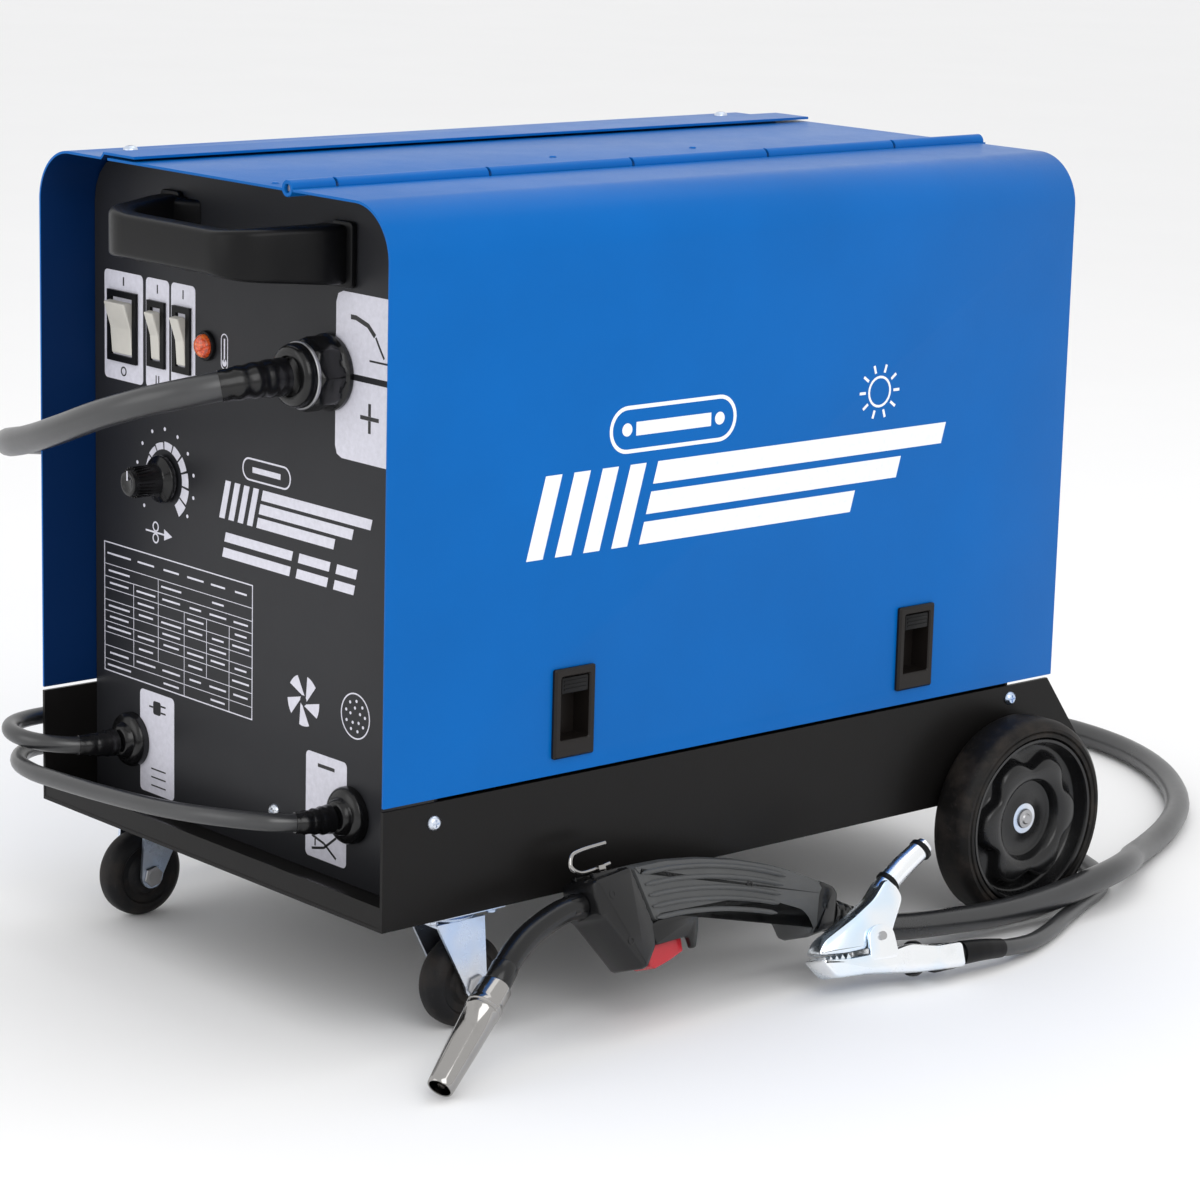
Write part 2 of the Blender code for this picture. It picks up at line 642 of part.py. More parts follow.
def gas_inlet():
    face = SHELL_LENGTH - PANEL_SETBACK + TOUCH
    profile = [(0, 0.022), (0.0028, 0.022), (0.0042, 0.017), (0.0030, 0.0165), (0.0042, 0.011),
               (0.0030, 0.0105), (0.009, 0.0075), (0.009, 0), (shank(0.009), 0), (shank(0.009), -0.012), (0, -0.012)]
    return turned("gas_inlet", profile, "Y", ZINC, steps=16, at=(0.085, face, 0.330))


def front_handle():
    """A bowed strap: its plan and its front view in common."""
    reach = GRIP_REACH - TOUCH
    grip, foot = GRIP_SPAN / 2, FOOT_SPAN / 2
    inner = GRIP_THICKNESS * 1.25
    plan = rounded([(-foot, 0), (-grip, -reach), (grip, -reach), (foot, 0), (foot - inner * 1.4, 0),
                    (grip - inner, -reach + GRIP_THICKNESS), (-grip + inner, -reach + GRIP_THICKNESS),
                    (-foot + inner * 1.4, 0)], [0, 0.014, 0.014, 0, 0, 0.008, 0.008, 0], 4)
    strap = solid(plate("front_handle", [plan], 0.06, "XY", PLASTIC,
                        at=(0, PANEL_SETBACK - TOUCH, HANDLE_Z)))
    waist, end = GRIP_HEIGHT / 2, FOOT_HEIGHT / 2
    front = [(-foot - 0.01, -end), (-foot + 0.010, -end), (-grip * 0.7, -waist), (grip * 0.7, -waist),
             (foot - 0.010, -end), (foot + 0.01, -end), (foot + 0.01, end), (foot - 0.016, end),
             (grip * 0.7, waist), (-grip * 0.7, waist), (-foot + 0.016, end), (-foot - 0.01, end)]
    view = plate("handle_front_view", [front], 0.2, "XZ", PLASTIC, at=(0, 0, HANDLE_Z), group=CUTTERS)
    combine(strap, [view], "INTERSECT")
    return bevel(strap, 0.002, 2)


# ---------------------------------------------------------------- controls on the front panel


def switch(name, x, z, width, height):
    """A switch body with a pocket, and the rocker that tips in it, top end out."""
    rim_w, rim_h = width / 2 - SWITCH_RIM, height / 2 - SWITCH_RIM
    wall = 0.0012
    at = (x, PANEL_SETBACK, z)
    body = box(f"{name}_switch_body", (-width / 2, -SWITCH_PROUD, -height / 2), (width / 2, -TOUCH, height / 2), at=at)
    back = box(f"{name}_switch_back", (-rim_w, -SWITCH_PROUD / 2, -rim_h), (rim_w, SWITCH_DEPTH, rim_h),
               at=at, group=CUTTERS)
    pocket = box(f"{name}_switch_pocket", (-rim_w + wall, -0.02, -rim_h + wall),
                 (rim_w - wall, SWITCH_DEPTH - 0.002, rim_h - wall), at=at, group=CUTTERS)
    combine(body, [back], "UNION")
    combine(body, [pocket], "DIFFERENCE")
    half = rim_h - wall - 0.0014
    face, middle, keel = 0.0045, 0.0028, 0.010
    profile = [(face, half), (middle, 0.0), (face, -half), (0.0, -half), (-keel, -0.003), (-keel, 0.003), (0.0, half)]
    tilt = [(-math.cos(ROCKER_TILT) * out - math.sin(ROCKER_TILT) * up,
             -math.sin(ROCKER_TILT) * out + math.cos(ROCKER_TILT) * up) for out, up in profile]
    bevel(solid(plate(f"{name}_rocker", [tilt], 2 * (rim_w - wall - CLEARANCE), "YZ", IVORY, at=at)), 0.0007, 2)


def indicator_lamp():
    r = LAMP_RADIUS
    profile = [(0, 0.0075), *[(r * 0.82 * math.sin(math.radians(a)), 0.0025 + 0.005 * math.cos(math.radians(a)))
                              for a in (22, 45, 68, 90)], (r, 0.0022), (r, TOUCH), (shank(r), TOUCH),
               (shank(r), -0.014), (0, -0.014)]
    return turned("indicator_lamp", profile, "-Y", AMBER, steps=16, at=(LAMP_X, PANEL_SETBACK, LAMP_Z))


def speed_knob():
    r = KNOB_RADIUS
    profile = [(0, KNOB_LENGTH), (r * 0.66, KNOB_LENGTH), (r * 0.73, KNOB_LENGTH - 0.0015), (r * 0.95, 0.007),
               (r * 1.25, 0.005), (r * 1.25, 0.0015), (KNOB_SHAFT, 0.0015), (KNOB_SHAFT, -0.014), (0, -0.014)]
    return turned("speed_knob", profile, "-Y", PLASTIC, steps=18, at=(KNOB_X, PANEL_SETBACK, KNOB_Z))


def torch_outlet():
    r, length = OUTLET_RADIUS, OUTLET_LENGTH
    profile = [(0, length), (r * 0.80, length), (r * 0.86, length - 0.001), (r * 0.86, length - 0.004),
               (r * 0.97, length - 0.006), (r, length * 0.55), (r, 0.004), (r * 1.05, 0.003), (r * 1.05, TOUCH),
               (shank(r), TOUCH), (shank(r), -0.020), (0, -0.020)]
    return turned("torch_outlet", profile, "-Y", PLASTIC, steps=20, at=(OUTLET_X, PANEL_SETBACK, OUTLET_Z))


def grommet(name, x, z):
    r, length = GROMMET_RADIUS, GROMMET_LENGTH
    profile = [(0, length), (r * 0.55, length), (r * 0.66, length - 0.002), (r * 0.70, 0.007), (r * 0.94, 0.0065),
               (r, 0.005), (r, TOUCH), (shank(r), TOUCH), (shank(r), -0.006), (0, -0.006)]
    return turned(name, profile, "-Y", RUBBER, steps=16, at=(x, PANEL_SETBACK, z))


# ---------------------------------------------------------------- running gear


def caster(side_name, x, trail):
    """A plate with its race, a swivelling fork, and a wheel on a pin behind or before the swivel."""
    top = TRAY_CLEARANCE - TOUCH
    race = top - CASTER_PLATE - RACE_HEIGHT
    base = box(f"caster_plate_{side_name}", (-0.021, -0.026, top - CASTER_PLATE), (0.021, 0.026, top), ZINC,
               at=(x, CASTER_Y, 0))
    combine(base, [rod(f"caster_race_{side_name}", RACE_RADIUS, RACE_HEIGHT + CASTER_PLATE / 2, "Z", ZINC, 24,
                       at=(x, CASTER_Y, race), group=CUTTERS)], "UNION")
    half = CASTER_WIDTH / 2 + FORK_GAP
    fork_top = race - TOUCH
    way = math.copysign(1, trail)
    boss = arc((trail, CASTER_RADIUS), 0.0075, 180 if way > 0 else 360, 360 if way > 0 else 180, 8)
    leg = [(-0.015 * way, fork_top), *boss, (0.018 * way, fork_top)]
    hole = ring_of((trail, CASTER_RADIUS), CASTER_PIN_RADIUS + RUNNING, 16)
    fork = box(f"caster_fork_{side_name}", (-half - FORK_SHEET, -0.0145, fork_top - FORK_SHEET),
               (half + FORK_SHEET, 0.0145, fork_top), ZINC, at=(x, CASTER_Y, 0))
    cheeks = [plate(f"caster_cheek_{side_name}_{n}", [leg, hole], FORK_SHEET, "YZ", ZINC,
                    at=(x + sign * (half + FORK_SHEET / 2), CASTER_Y, 0), group=CUTTERS)
              for n, sign in enumerate((-1, 1))]
    combine(fork, cheeks, "UNION")
    reach = half + FORK_SHEET + 0.002
    rod(f"caster_axle_{side_name}", CASTER_PIN_RADIUS, 2 * reach, "X", STEEL, 16,
        at=(x - reach, CASTER_Y + trail, CASTER_RADIUS))
    r, w, bore = CASTER_RADIUS, CASTER_WIDTH / 2, CASTER_PIN_RADIUS + RUNNING
    profile = [(bore, w), (r * 0.42, w), (r * 0.46, w * 0.80), (r * 0.84, w * 0.80), (r * 0.96, w * 0.72), (r, w * 0.35),
               (r, -w * 0.35), (r * 0.96, -w * 0.72), (r * 0.84, -w * 0.80), (r * 0.46, -w * 0.80), (r * 0.42, -w),
               (bore, -w)]
    turned(f"caster_wheel_{side_name}", profile, "X", RUBBER, closed=True, steps=20,
           at=(x, CASTER_Y + trail, CASTER_RADIUS))


def wheel_centre():
    """Distance of a rear wheel's middle from the centre plane."""
    return SIDE + WHEEL_GAP + WHEEL_WIDTH / 2


def axle_bracket():
    width, depth = SHELL_WIDTH - 0.030, 0.040
    top = TRAY_CLEARANCE - TOUCH
    bracket = box("axle_bracket", (-width / 2, -depth / 2, top - 0.003), (width / 2, depth / 2, top), BLACK,
                  at=(0, WHEEL_Y, 0))
    lug = [(-0.014, top - 0.001), *arc((0, WHEEL_RADIUS), 0.014, 180, 360, 10), (0.014, top - 0.001)]
    hole = ring_of((0, WHEEL_RADIUS), AXLE_RADIUS + RUNNING, 20)
    for n, sign in enumerate((-1, 1)):
        combine(bracket, [plate(f"axle_lug_{n}", [lug, hole], 0.003, "YZ", BLACK,
                                at=(sign * (width / 2 - 0.0016), WHEEL_Y, 0), group=CUTTERS)], "UNION")
    return bracket


def rear_axle():
    reach = wheel_centre() + WHEEL_WIDTH / 2 - HUB_RECESS + AXLE_END
    return rod("rear_axle", AXLE_RADIUS, 2 * reach, "X", STEEL, 20, at=(-reach, WHEEL_Y, WHEEL_RADIUS))


HUB_RECESS = 0.010  # of the boss's centre below the wheel's face


def rear_wheel(side_name, sign):
    """A tyre on a dished hub, both turned about the axle, with the hub's face outwards."""
    at = (sign * wheel_centre(), WHEEL_Y, WHEEL_RADIUS)
    axis = "X" if sign > 0 else "-X"
    r, w, inner = WHEEL_RADIUS, WHEEL_WIDTH / 2, WHEEL_RADIUS - TYRE_DEPTH
    tyre = [(inner, w - 0.0015), (inner + 0.002, w - 0.0004), (r * 0.90, w - 0.0004), (r * 0.965, w - 0.002),
            (r, w - 0.006), (r, -w + 0.006), (r * 0.965, -w + 0.002), (r * 0.90, -w), (inner, -w)]
    turned(f"rear_tyre_{side_name}", tyre, axis, RUBBER, closed=True, steps=30, at=at)
    rim, bore = inner - TOUCH, AXLE_RADIUS + RUNNING
    hub = [(bore, w - HUB_RECESS), (r * 0.36, w - HUB_RECESS), (r * 0.40, w - 0.002), (r * 0.55, w - 0.0025),
           (r * 0.62, w - 0.010), (rim - 0.004, w - 0.008), (rim - 0.003, w - 0.001), (rim, w - 0.001),
           (rim, -w + 0.001), (rim - 0.004, -w + 0.001), (rim - 0.006, -w + 0.010), (r * 0.32, -w + 0.010),
           (r * 0.28, -w), (bore, -w)]
    turned(f"rear_hub_{side_name}", hub, axis, PLASTIC, closed=True, steps=24, at=at)


# ---------------------------------------------------------------- inside


def divider():
    low, high = TRAY_FLOOR + TOUCH, SHELL_TOP - SHELL_SHEET - 0.004
    front, rear = PANEL_SETBACK + PANEL_SHEET + 0.022, SHELL_LENGTH - PANEL_SETBACK - PANEL_SHEET - 0.004
    wall = [(front, low), (rear, low), (rear, high), (front, high)]
    hole = ring_of((SPOOL_Y, SPOOL_Z), SPOOL_CORE * 0.5, 16)
    return plate("divider", [wall, hole], TRAY_SHEET, "YZ", GREY, at=(DIVIDER_X, 0, 0))


def transformer():
    w, h, limb = CORE_WIDTH / 2, CORE_HEIGHT, CORE_LIMB
    at = (CORE_X, CORE_Y, TRAY_FLOOR + TOUCH)
    windows = [rectangle((sign * (w - limb), limb), (sign * limb / 2, h - limb)) for sign in (-1, 1)]
    plate("transformer_core", [rectangle((-w, 0), (w, h)), *windows], CORE_LENGTH, "XZ", STEEL, at=at)
    gap = 0.0015
    inner = (limb / 2 + gap, CORE_LENGTH / 2 + gap)
    outer = (w - limb - gap, CORE_LENGTH / 2 + w - limb * 1.5 - gap)
    rings = [rounded(rectangle((-a, -b), (a, b)), [radius] * 4, 3) for (a, b), radius in ((outer, 0.012), (inner, 0.001))]
    plate("transformer_coil", rings, h - 2 * (limb + gap), "XY", COPPER, at=(at[0], at[1], at[2] + h / 2))


def wire_spool():
    base = DIVIDER_X + TRAY_SHEET / 2
    spool_x = base + SPOOL_STANDOFF
    hub = [(0, SPOOL_STANDOFF + SPOOL_WIDTH + 0.006), (0.016, SPOOL_STANDOFF + SPOOL_WIDTH + 0.006),
           (0.016, SPOOL_STANDOFF + SPOOL_WIDTH + 0.0015), (SPOOL_CORE * 0.6, SPOOL_STANDOFF + SPOOL_WIDTH + 0.0015),
           (SPOOL_CORE * 0.6, SPOOL_STANDOFF - 0.004), (SPOOL_CORE, SPOOL_STANDOFF - 0.004), (SPOOL_CORE, TOUCH),
           (0, TOUCH)]
    turned("spool_hub", hub, "X", PLASTIC, steps=20, at=(base, SPOOL_Y, SPOOL_Z))
    r, w, f, bore = SPOOL_RADIUS, SPOOL_WIDTH, SPOOL_FLANGE, SPOOL_CORE * 0.6 + RUNNING
    wound = r * 0.84
    spool = [(bore, w), (r, w), (r, w - f), (wound, w - f), (wound, f), (r, f), (r, 0), (bore, 0)]
    turned("wire_spool", spool, "X", WIRE, closed=True, steps=28, at=(spool_x, SPOOL_Y, SPOOL_Z))


def wire_feeder():
    """The drive roller under the wire's line, the motor's gear case, and the pressure arm above."""
    base = DIVIDER_X + TRAY_SHEET / 2
    roller_z = OUTLET_Z - ROLLER_RADIUS
    roller_x = OUTLET_X - ROLLER_WIDTH / 2
    case = box("feed_motor", (TOUCH, -0.028, -0.036), (roller_x - base - 0.003, 0.040, 0.010), STEEL,
               at=(base, ROLLER_Y, roller_z - 0.002))
    can = rod("feed_motor_can", 0.021, 0.060, "-Y", STEEL, 20, at=(base + 0.022, ROLLER_Y + 0.095, roller_z - 0.030),
              group=CUTTERS)
    shaft = rod("feed_shaft", 0.004, ROLLER_WIDTH + 0.012, "X", STEEL, 16,
                at=(roller_x - 0.008, ROLLER_Y, roller_z), group=CUTTERS)
    post = box("feed_post", (0.006, 0.020, 0.000), (roller_x - base - 0.006, 0.034, 0.040), STEEL,
               at=(base, ROLLER_Y, roller_z), group=CUTTERS)
    combine(case, [can, shaft, post], "UNION")
    r, w, bore = ROLLER_RADIUS, ROLLER_WIDTH, 0.004 + RUNNING
    roller = [(bore, w), (r - 0.001, w), (r, w - 0.001), (r, w / 2 + 0.001), (r - 0.001, w / 2), (r, w / 2 - 0.001),
              (r, 0.001), (r - 0.001, 0), (bore, 0)]
    turned("drive_roller", roller, "X", STEEL, closed=True, steps=18, at=(roller_x, ROLLER_Y, roller_z))
    arm = [(-0.006, -0.004), *arc((0, 0), 0.007, -90, 90, 6), (-0.050, 0.016), (-0.056, 0.004), (-0.034, -0.006)]
    pivot = Vector((roller_x + 0.001, ROLLER_Y + 0.034, OUTLET_Z + 0.020))
    pressure = solid(plate("pressure_arm", [arm], ROLLER_WIDTH - 0.002, "YZ", ZINC,
                           at=pivot + Vector((ROLLER_WIDTH / 2 - 0.001, 0, 0))))
    idler = rod("idler_roller", 0.011, 0.006, "X", STEEL, 20,
                at=(0.003 - ROLLER_WIDTH / 2 + pivot.x, ROLLER_Y, OUTLET_Z + 0.013), group=CUTTERS)
    knob = rod("pressure_screw", 0.008, 0.022, "Z", PLASTIC, 16,
               at=(pivot.x + ROLLER_WIDTH / 2 - 0.001, ROLLER_Y - 0.010, OUTLET_Z + 0.024), group=CUTTERS)
    combine(pressure, [idler, knob], "UNION")


def cooling_fan():
    face = SHELL_LENGTH - PANEL_SETBACK - PANEL_SHEET
    hub = rod("cooling_fan", 0.018, 0.016, "Y", PLASTIC, 20, at=(FAN_X, face - 0.028, FAN_Z))
    blades = []
    for n in range(5):
        turn = Matrix.Rotation(math.radians(72 * n), 3, "Y") @ Matrix.Rotation(math.radians(35), 3, "Z")
        blade = box(f"fan_blade_{n}", (-0.017, -0.0012, 0.012), (0.017, 0.0012, FAN_RADIUS), PLASTIC,
                    at=(FAN_X, face - 0.020, FAN_Z), turn=turn, group=CUTTERS)
        blades.append(blade)
    return combine(hub, blades, "UNION")


# ---------------------------------------------------------------- torch and earth clamp


def torch():
    back = [(-0.1290, 0.0390), (-0.1010, 0.0412), (-0.0730, 0.0402), (-0.0455, 0.0363), (-0.0180, 0.0302),
            (0.0090, 0.0218), (0.0280, 0.0142), (0.0465, 0.0052), (0.0570, -0.0005), (0.0595, -0.0060)]
    belly = [(0.0500, -0.0240), (0.0270, -0.0255), (0.0240, -0.0135), (0.0030, -0.0046), (-0.0135, 0.0004),
             (-0.0300, 0.0030), (-0.0550, 0.0035)]
    guard = [(-0.0635, -0.0120), (-0.0668, -0.0122), (-0.0672, -0.0045), (-0.0930, -0.0045), (-0.1030, -0.0148),
             (-0.1065, -0.0150), (-0.1265, 0.0160), (-0.1300, 0.0190)]
    grip = solid(plate("torch_handle", [[*back, *belly, *guard]], 2 * TORCH_HALF, "YZ", HANDLE_GREY, parent=TORCH))
    cavity = box("trigger_cavity", (-0.0090, -0.0992, -0.0130), (0.0090, -0.0671, 0.0045), group=CUTTERS, parent=TORCH)
    combine(grip, [cavity], "DIFFERENCE")
    bevel(grip, 0.0018, 2)
    y, z = TRIGGER_PIVOT
    lever = [(0.0030, 0.0030), (-0.0220, 0.0030), (-0.0240, -0.0020), (-0.0262, -0.0110), (-0.0220, -0.0132),
             (-0.0090, -0.0110), (0.0020, -0.0082)]
    bevel(solid(plate("torch_trigger", [lever], 0.016, "YZ", RED, at=(0, y, z), parent=TORCH)), 0.001, 2)
    elbow = [(0, -0.1303, 0.0262), (0, -0.1430, 0.0262), (0, -0.1580, 0.0232), (0, -0.1720, 0.0188),
             (0, -0.1840, 0.0128), (0, -0.1940, 0.0058), (0, -0.2025, -0.0015)]
    tube("swan_neck", smooth_route(elbow), NECK_RADIUS, PLASTIC, 3, parent=TORCH)
    tip_way = Vector((0, -0.0560, -0.0440)).normalized()
    start = Vector(elbow[-1]) + tip_way * 2 * TOUCH
    nozzle = [(0, 0.052), (0.0056, 0.052), (0.0060, 0.069), (0.0070, 0.069), (0.0074, 0.067), (0.0087, 0.040),
              (0.0094, 0.019), (0.0099, 0.018), (0.0099, 0.014), (0.0095, 0.013), (0.0093, 0.001), (0.0085, 0), (0, 0)]
    turned("torch_nozzle", nozzle, tip_way, CHROME, parent=TORCH, at=start, steps=18)
    wire = [(0, -0.1020, 0.0446), (0, -0.1160, 0.0434), (0, -0.1260, 0.0440), (0, -0.1310, 0.0485),
            (0, -0.1285, 0.0540), (0, -0.1210, 0.0556), (0, -0.1020, 0.0562)]
    tube("torch_hook", smooth_route(wire, 16.0), 0.0014, ZINC, 2, parent=TORCH)


def earth_clamp():
    y, z = CLAMP_PIVOT
    bore = ring_of((y, z), CLAMP_PIN_RADIUS + RUNNING, 16)
    ear_half = JAW_HALF + CLEARANCE + EAR_SHEET
    lower = [(-0.040, 0.0030), (-0.031, -0.0090), (-0.008, -0.0095), (0.025, -0.0135), (0.058, -0.0150),
             (0.058, 0.0000), (0.040, 0.0000), (0.022, 0.0035), (0.010, 0.0015), (-0.004, 0.0015), (-0.020, 0.0010)]
    body = solid(plate("clamp_lower_jaw", [lower], 2 * ear_half, "YZ", ZINC, parent=CLAMP))
    ear = [(-0.007, -0.003), (0.013, -0.003), (0.0115, 0.014), (0.003, 0.0180), (-0.0055, 0.014)]
    ears = [plate(f"clamp_ear_{n}", [ear, bore], EAR_SHEET, "YZ", ZINC, group=CUTTERS, parent=CLAMP,
                  at=(sign * (ear_half - EAR_SHEET / 2 - 0.0001), 0, 0)) for n, sign in enumerate((-1, 1))]
    combine(body, ears, "UNION")
    upper = [(-0.040, 0.0050), (-0.034, 0.0130), (-0.012, 0.0230), (0.004, 0.0320), (0.014, 0.0430), (0.046, 0.0620),
             (0.057, 0.0540), (0.030, 0.0360), (0.020, 0.0230), (0.015, 0.0150), (0.010, 0.0050), (0.003, 0.0035),
             (-0.004, 0.0045), (-0.020, 0.0030)]
    local = [[(a - y, b - z) for a, b in loop] for loop in (upper, bore)]
    plate("clamp_upper_jaw", local, 2 * JAW_HALF, "YZ", ZINC, at=(0, y, z), parent=CLAMP)
    reach = ear_half + 0.0015
    rod("clamp_pin", CLAMP_PIN_RADIUS, 2 * reach, "X", STEEL, 12, at=(-reach, y, z), parent=CLAMP)


# ---------------------------------------------------------------- leads


def leads():
    """Each lead lies free along its route; the mains lead ends in a coil with its plug on top."""
    tube("torch_lead", smooth_route(TORCH_ROUTE), TORCH_LEAD / 2, RUBBER)
    tube("earth_lead", smooth_route(EARTH_ROUTE), EARTH_LEAD / 2, RUBBER)
    tube("mains_lead", smooth_route(MAINS_ROUTE), MAINS_LEAD / 2, RUBBER)
    outer = COIL_INNER + COIL_TURNS_WIDE * MAINS_LEAD
    edge, top = 0.002, COIL_HEIGHT + TOUCH
    coil = [(COIL_INNER, top - edge), (COIL_INNER + edge, top), (outer - edge, top), (outer, top - edge),
            (outer, TOUCH + edge), (outer - edge, TOUCH), (COIL_INNER + edge, TOUCH), (COIL_INNER, TOUCH + edge)]
    ring = turned("mains_coil", coil, "Z", RUBBER, closed=True, steps=30, at=COIL_AT)
    turn_end = outer - MAINS_LEAD / 2
    climb = [(turn_end - COIL_EXIT + COIL_EXIT * math.cos(a), -COIL_EXIT * math.sin(a), z)
             for a, z in ((0.0, 0.0138), (0.26, 0.0176), (0.52, 0.0222), (0.79, 0.0274), (1.05, 0.0324), (1.31, 0.0364))]
    rear = Vector((turn_end - COIL_EXIT, -COIL_EXIT, COIL_HEIGHT + 0.0193))
    lead_end = rear + Vector((4 * TOUCH, 0, 0))
    way_in = [lead_end + Vector((0.005, 0.0002, -0.0003)), lead_end]
    combine(solid(ring), [tube("coil_end", smooth_route([*climb, *way_in]), MAINS_LEAD / 2, RUBBER, at=COIL_AT,
                               group=CUTTERS)], "UNION")
    length = 0.052
    plug = [(0, length), (0.010, length), (0.0185, length - 0.004), (0.0185, length - 0.022), (0.0150, length - 0.030),
            (0.0070, 0.010), (0.0055, 0), (0, 0)]
    body = turned("mains_plug", plug, "-X", RUBBER, steps=18, at=COIL_AT + rear)
    pins = [rod(f"plug_pin_{n}", 0.0024, 0.022, "-X", CHROME, 12,
                at=COIL_AT + rear + Vector((0.003 - length, side * 0.0095, 0)), group=CUTTERS)
            for n, side in enumerate((-1, 1))]
    combine(body, pins, "UNION")


def build():
    chassis_tray()
    left_cover()
    roof_panel()
    side_door()
    hinge_pin()
    for name, y in latch_centres():
        latch(name, y)
    front_panel()
    rear_panel()
    gas_inlet()
    front_handle()
    for entry in SWITCHES:
        switch(*entry)
    indicator_lamp()
    speed_knob()
    torch_outlet()
    grommet("mains_grommet", MAINS_X, MAINS_Z)
    grommet("earth_grommet", EARTH_X, EARTH_Z)
    caster("left", -CASTER_X, -CASTER_TRAIL)
    caster("right", CASTER_X, CASTER_TRAIL)
    axle_bracket()
    rear_axle()
    rear_wheel("left", -1)
    rear_wheel("right", 1)
    divider()
    transformer()
    wire_spool()
    wire_feeder()
    cooling_fan()
    torch()
    earth_clamp()
    leads()


build()
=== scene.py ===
"""Looks of a MIG welder on a wheeled cart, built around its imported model.

Metres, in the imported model's frame. Sizes are given from the machine's own datum, which is x = 0 on
the shell's centre plane and y = 0 at the shell's front edge, and are moved by DATUM."""

import math

import bmesh
import bpy
from bpy.props import FloatProperty, FloatVectorProperty, IntProperty, PointerProperty
from mathutils import Matrix, Vector


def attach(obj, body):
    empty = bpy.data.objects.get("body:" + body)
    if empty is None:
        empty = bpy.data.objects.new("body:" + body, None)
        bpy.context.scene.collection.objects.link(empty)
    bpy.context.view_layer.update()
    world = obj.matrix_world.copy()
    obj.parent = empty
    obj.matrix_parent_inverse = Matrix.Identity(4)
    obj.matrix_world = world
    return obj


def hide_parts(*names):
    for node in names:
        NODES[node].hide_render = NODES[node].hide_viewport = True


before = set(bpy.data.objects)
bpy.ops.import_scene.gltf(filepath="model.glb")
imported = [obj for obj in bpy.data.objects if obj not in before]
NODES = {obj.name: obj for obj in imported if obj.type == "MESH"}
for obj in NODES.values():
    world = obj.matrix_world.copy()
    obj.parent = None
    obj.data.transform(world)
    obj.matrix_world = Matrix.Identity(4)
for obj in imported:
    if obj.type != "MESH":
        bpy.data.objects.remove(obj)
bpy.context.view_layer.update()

bl_info = {
    "name": "MIG welder looks",
    "version": (1, 0, 0),
    "blender": (4, 5, 0),
    "location": "View3D > Sidebar > Welder",
    "description": "Builds the visible pieces and finishes of a MIG welder on a cart",
    "category": "Object",
}

DATUM = Vector((-0.03012, -0.26550, 0.0))
MACHINE = Matrix.Translation(DATUM)
SIDE, SHELL_LENGTH, SHELL_TOP, SHELL_BOTTOM = 0.1625, 0.515, 0.457, 0.141
SHEET, CORNER, PANEL_Y = 0.0015, 0.030, 0.036
HINGE_X, KNUCKLE = 0.074, 0.0045
WHEEL_Y, WHEEL_RADIUS, WHEEL_WIDTH, WHEEL_X = 0.472, 0.062, 0.028, 0.180
CASTER_X, CASTER_Y, CASTER_TRAIL, CASTER_RADIUS, CASTER_WIDTH = 0.136, 0.063, 0.013, 0.026, 0.019
TORCH = (MACHINE @ Matrix.Translation((0.1856, 0.2468, 0.0484)) @ Matrix.Rotation(math.radians(5), 4, "Z")
         @ Matrix.Rotation(math.radians(-20), 4, "Y"))
CLAMP = (MACHINE @ Matrix.Translation((0.229, 0.300, 0.0200)) @ Matrix.Rotation(math.radians(-10), 4, "Z")
         @ Matrix.Rotation(math.radians(-20), 4, "Y"))
SIDEWAYS = Matrix(((0, 0, 1, 0), (1, 0, 0, 0), (0, 1, 0, 0),
                   (0, 0, 0, 1)))  # outlines in Y and Z, thick in X

# Each lead's route, from the machine's datum
TORCH_ROUTE = (
    (0.066, 0.0055, 0.356), (0.066, -0.006, 0.356), (0.0625, -0.025, 0.3545), (0.050, -0.044, 0.350),
    (0.028, -0.057, 0.343), (-0.005, -0.0635, 0.332), (-0.045, -0.0625, 0.318), (-0.085, -0.0555, 0.306),
    (-0.120, -0.0455, 0.2975), (-0.1505, -0.0285, 0.2915), (-0.1745, -0.0025, 0.286),
    (-0.186, 0.033, 0.279),
    (-0.193, 0.075, 0.267), (-0.199, 0.125, 0.247), (-0.206, 0.185, 0.217), (-0.215, 0.260, 0.172),
    (-0.223, 0.350, 0.110), (-0.229, 0.440, 0.052), (-0.232, 0.520, 0.018),
    (-0.233, 0.590, 0.0088), (-0.230, 0.655, 0.0085), (-0.216, 0.715, 0.0085), (-0.187, 0.765, 0.0085),
    (-0.145, 0.797, 0.0085), (-0.092, 0.811, 0.0085), (-0.035, 0.807, 0.0085), (0.016, 0.788, 0.0085),
    (0.060, 0.758, 0.0085), (0.099, 0.719, 0.0085), (0.130, 0.671, 0.0085), (0.151, 0.627, 0.0088),
    (0.168, 0.595, 0.0125), (0.186, 0.570, 0.0180), (0.200, 0.540, 0.0205), (0.2065, 0.508, 0.0198),
    (0.2065, 0.470, 0.0160), (0.2035, 0.430, 0.0142), (0.1975, 0.395, 0.0145), (0.193, 0.362, 0.0165),
    (0.190, 0.337, 0.0207), (0.1875, 0.3185, 0.0270), (0.1862, 0.3035, 0.0335),
)
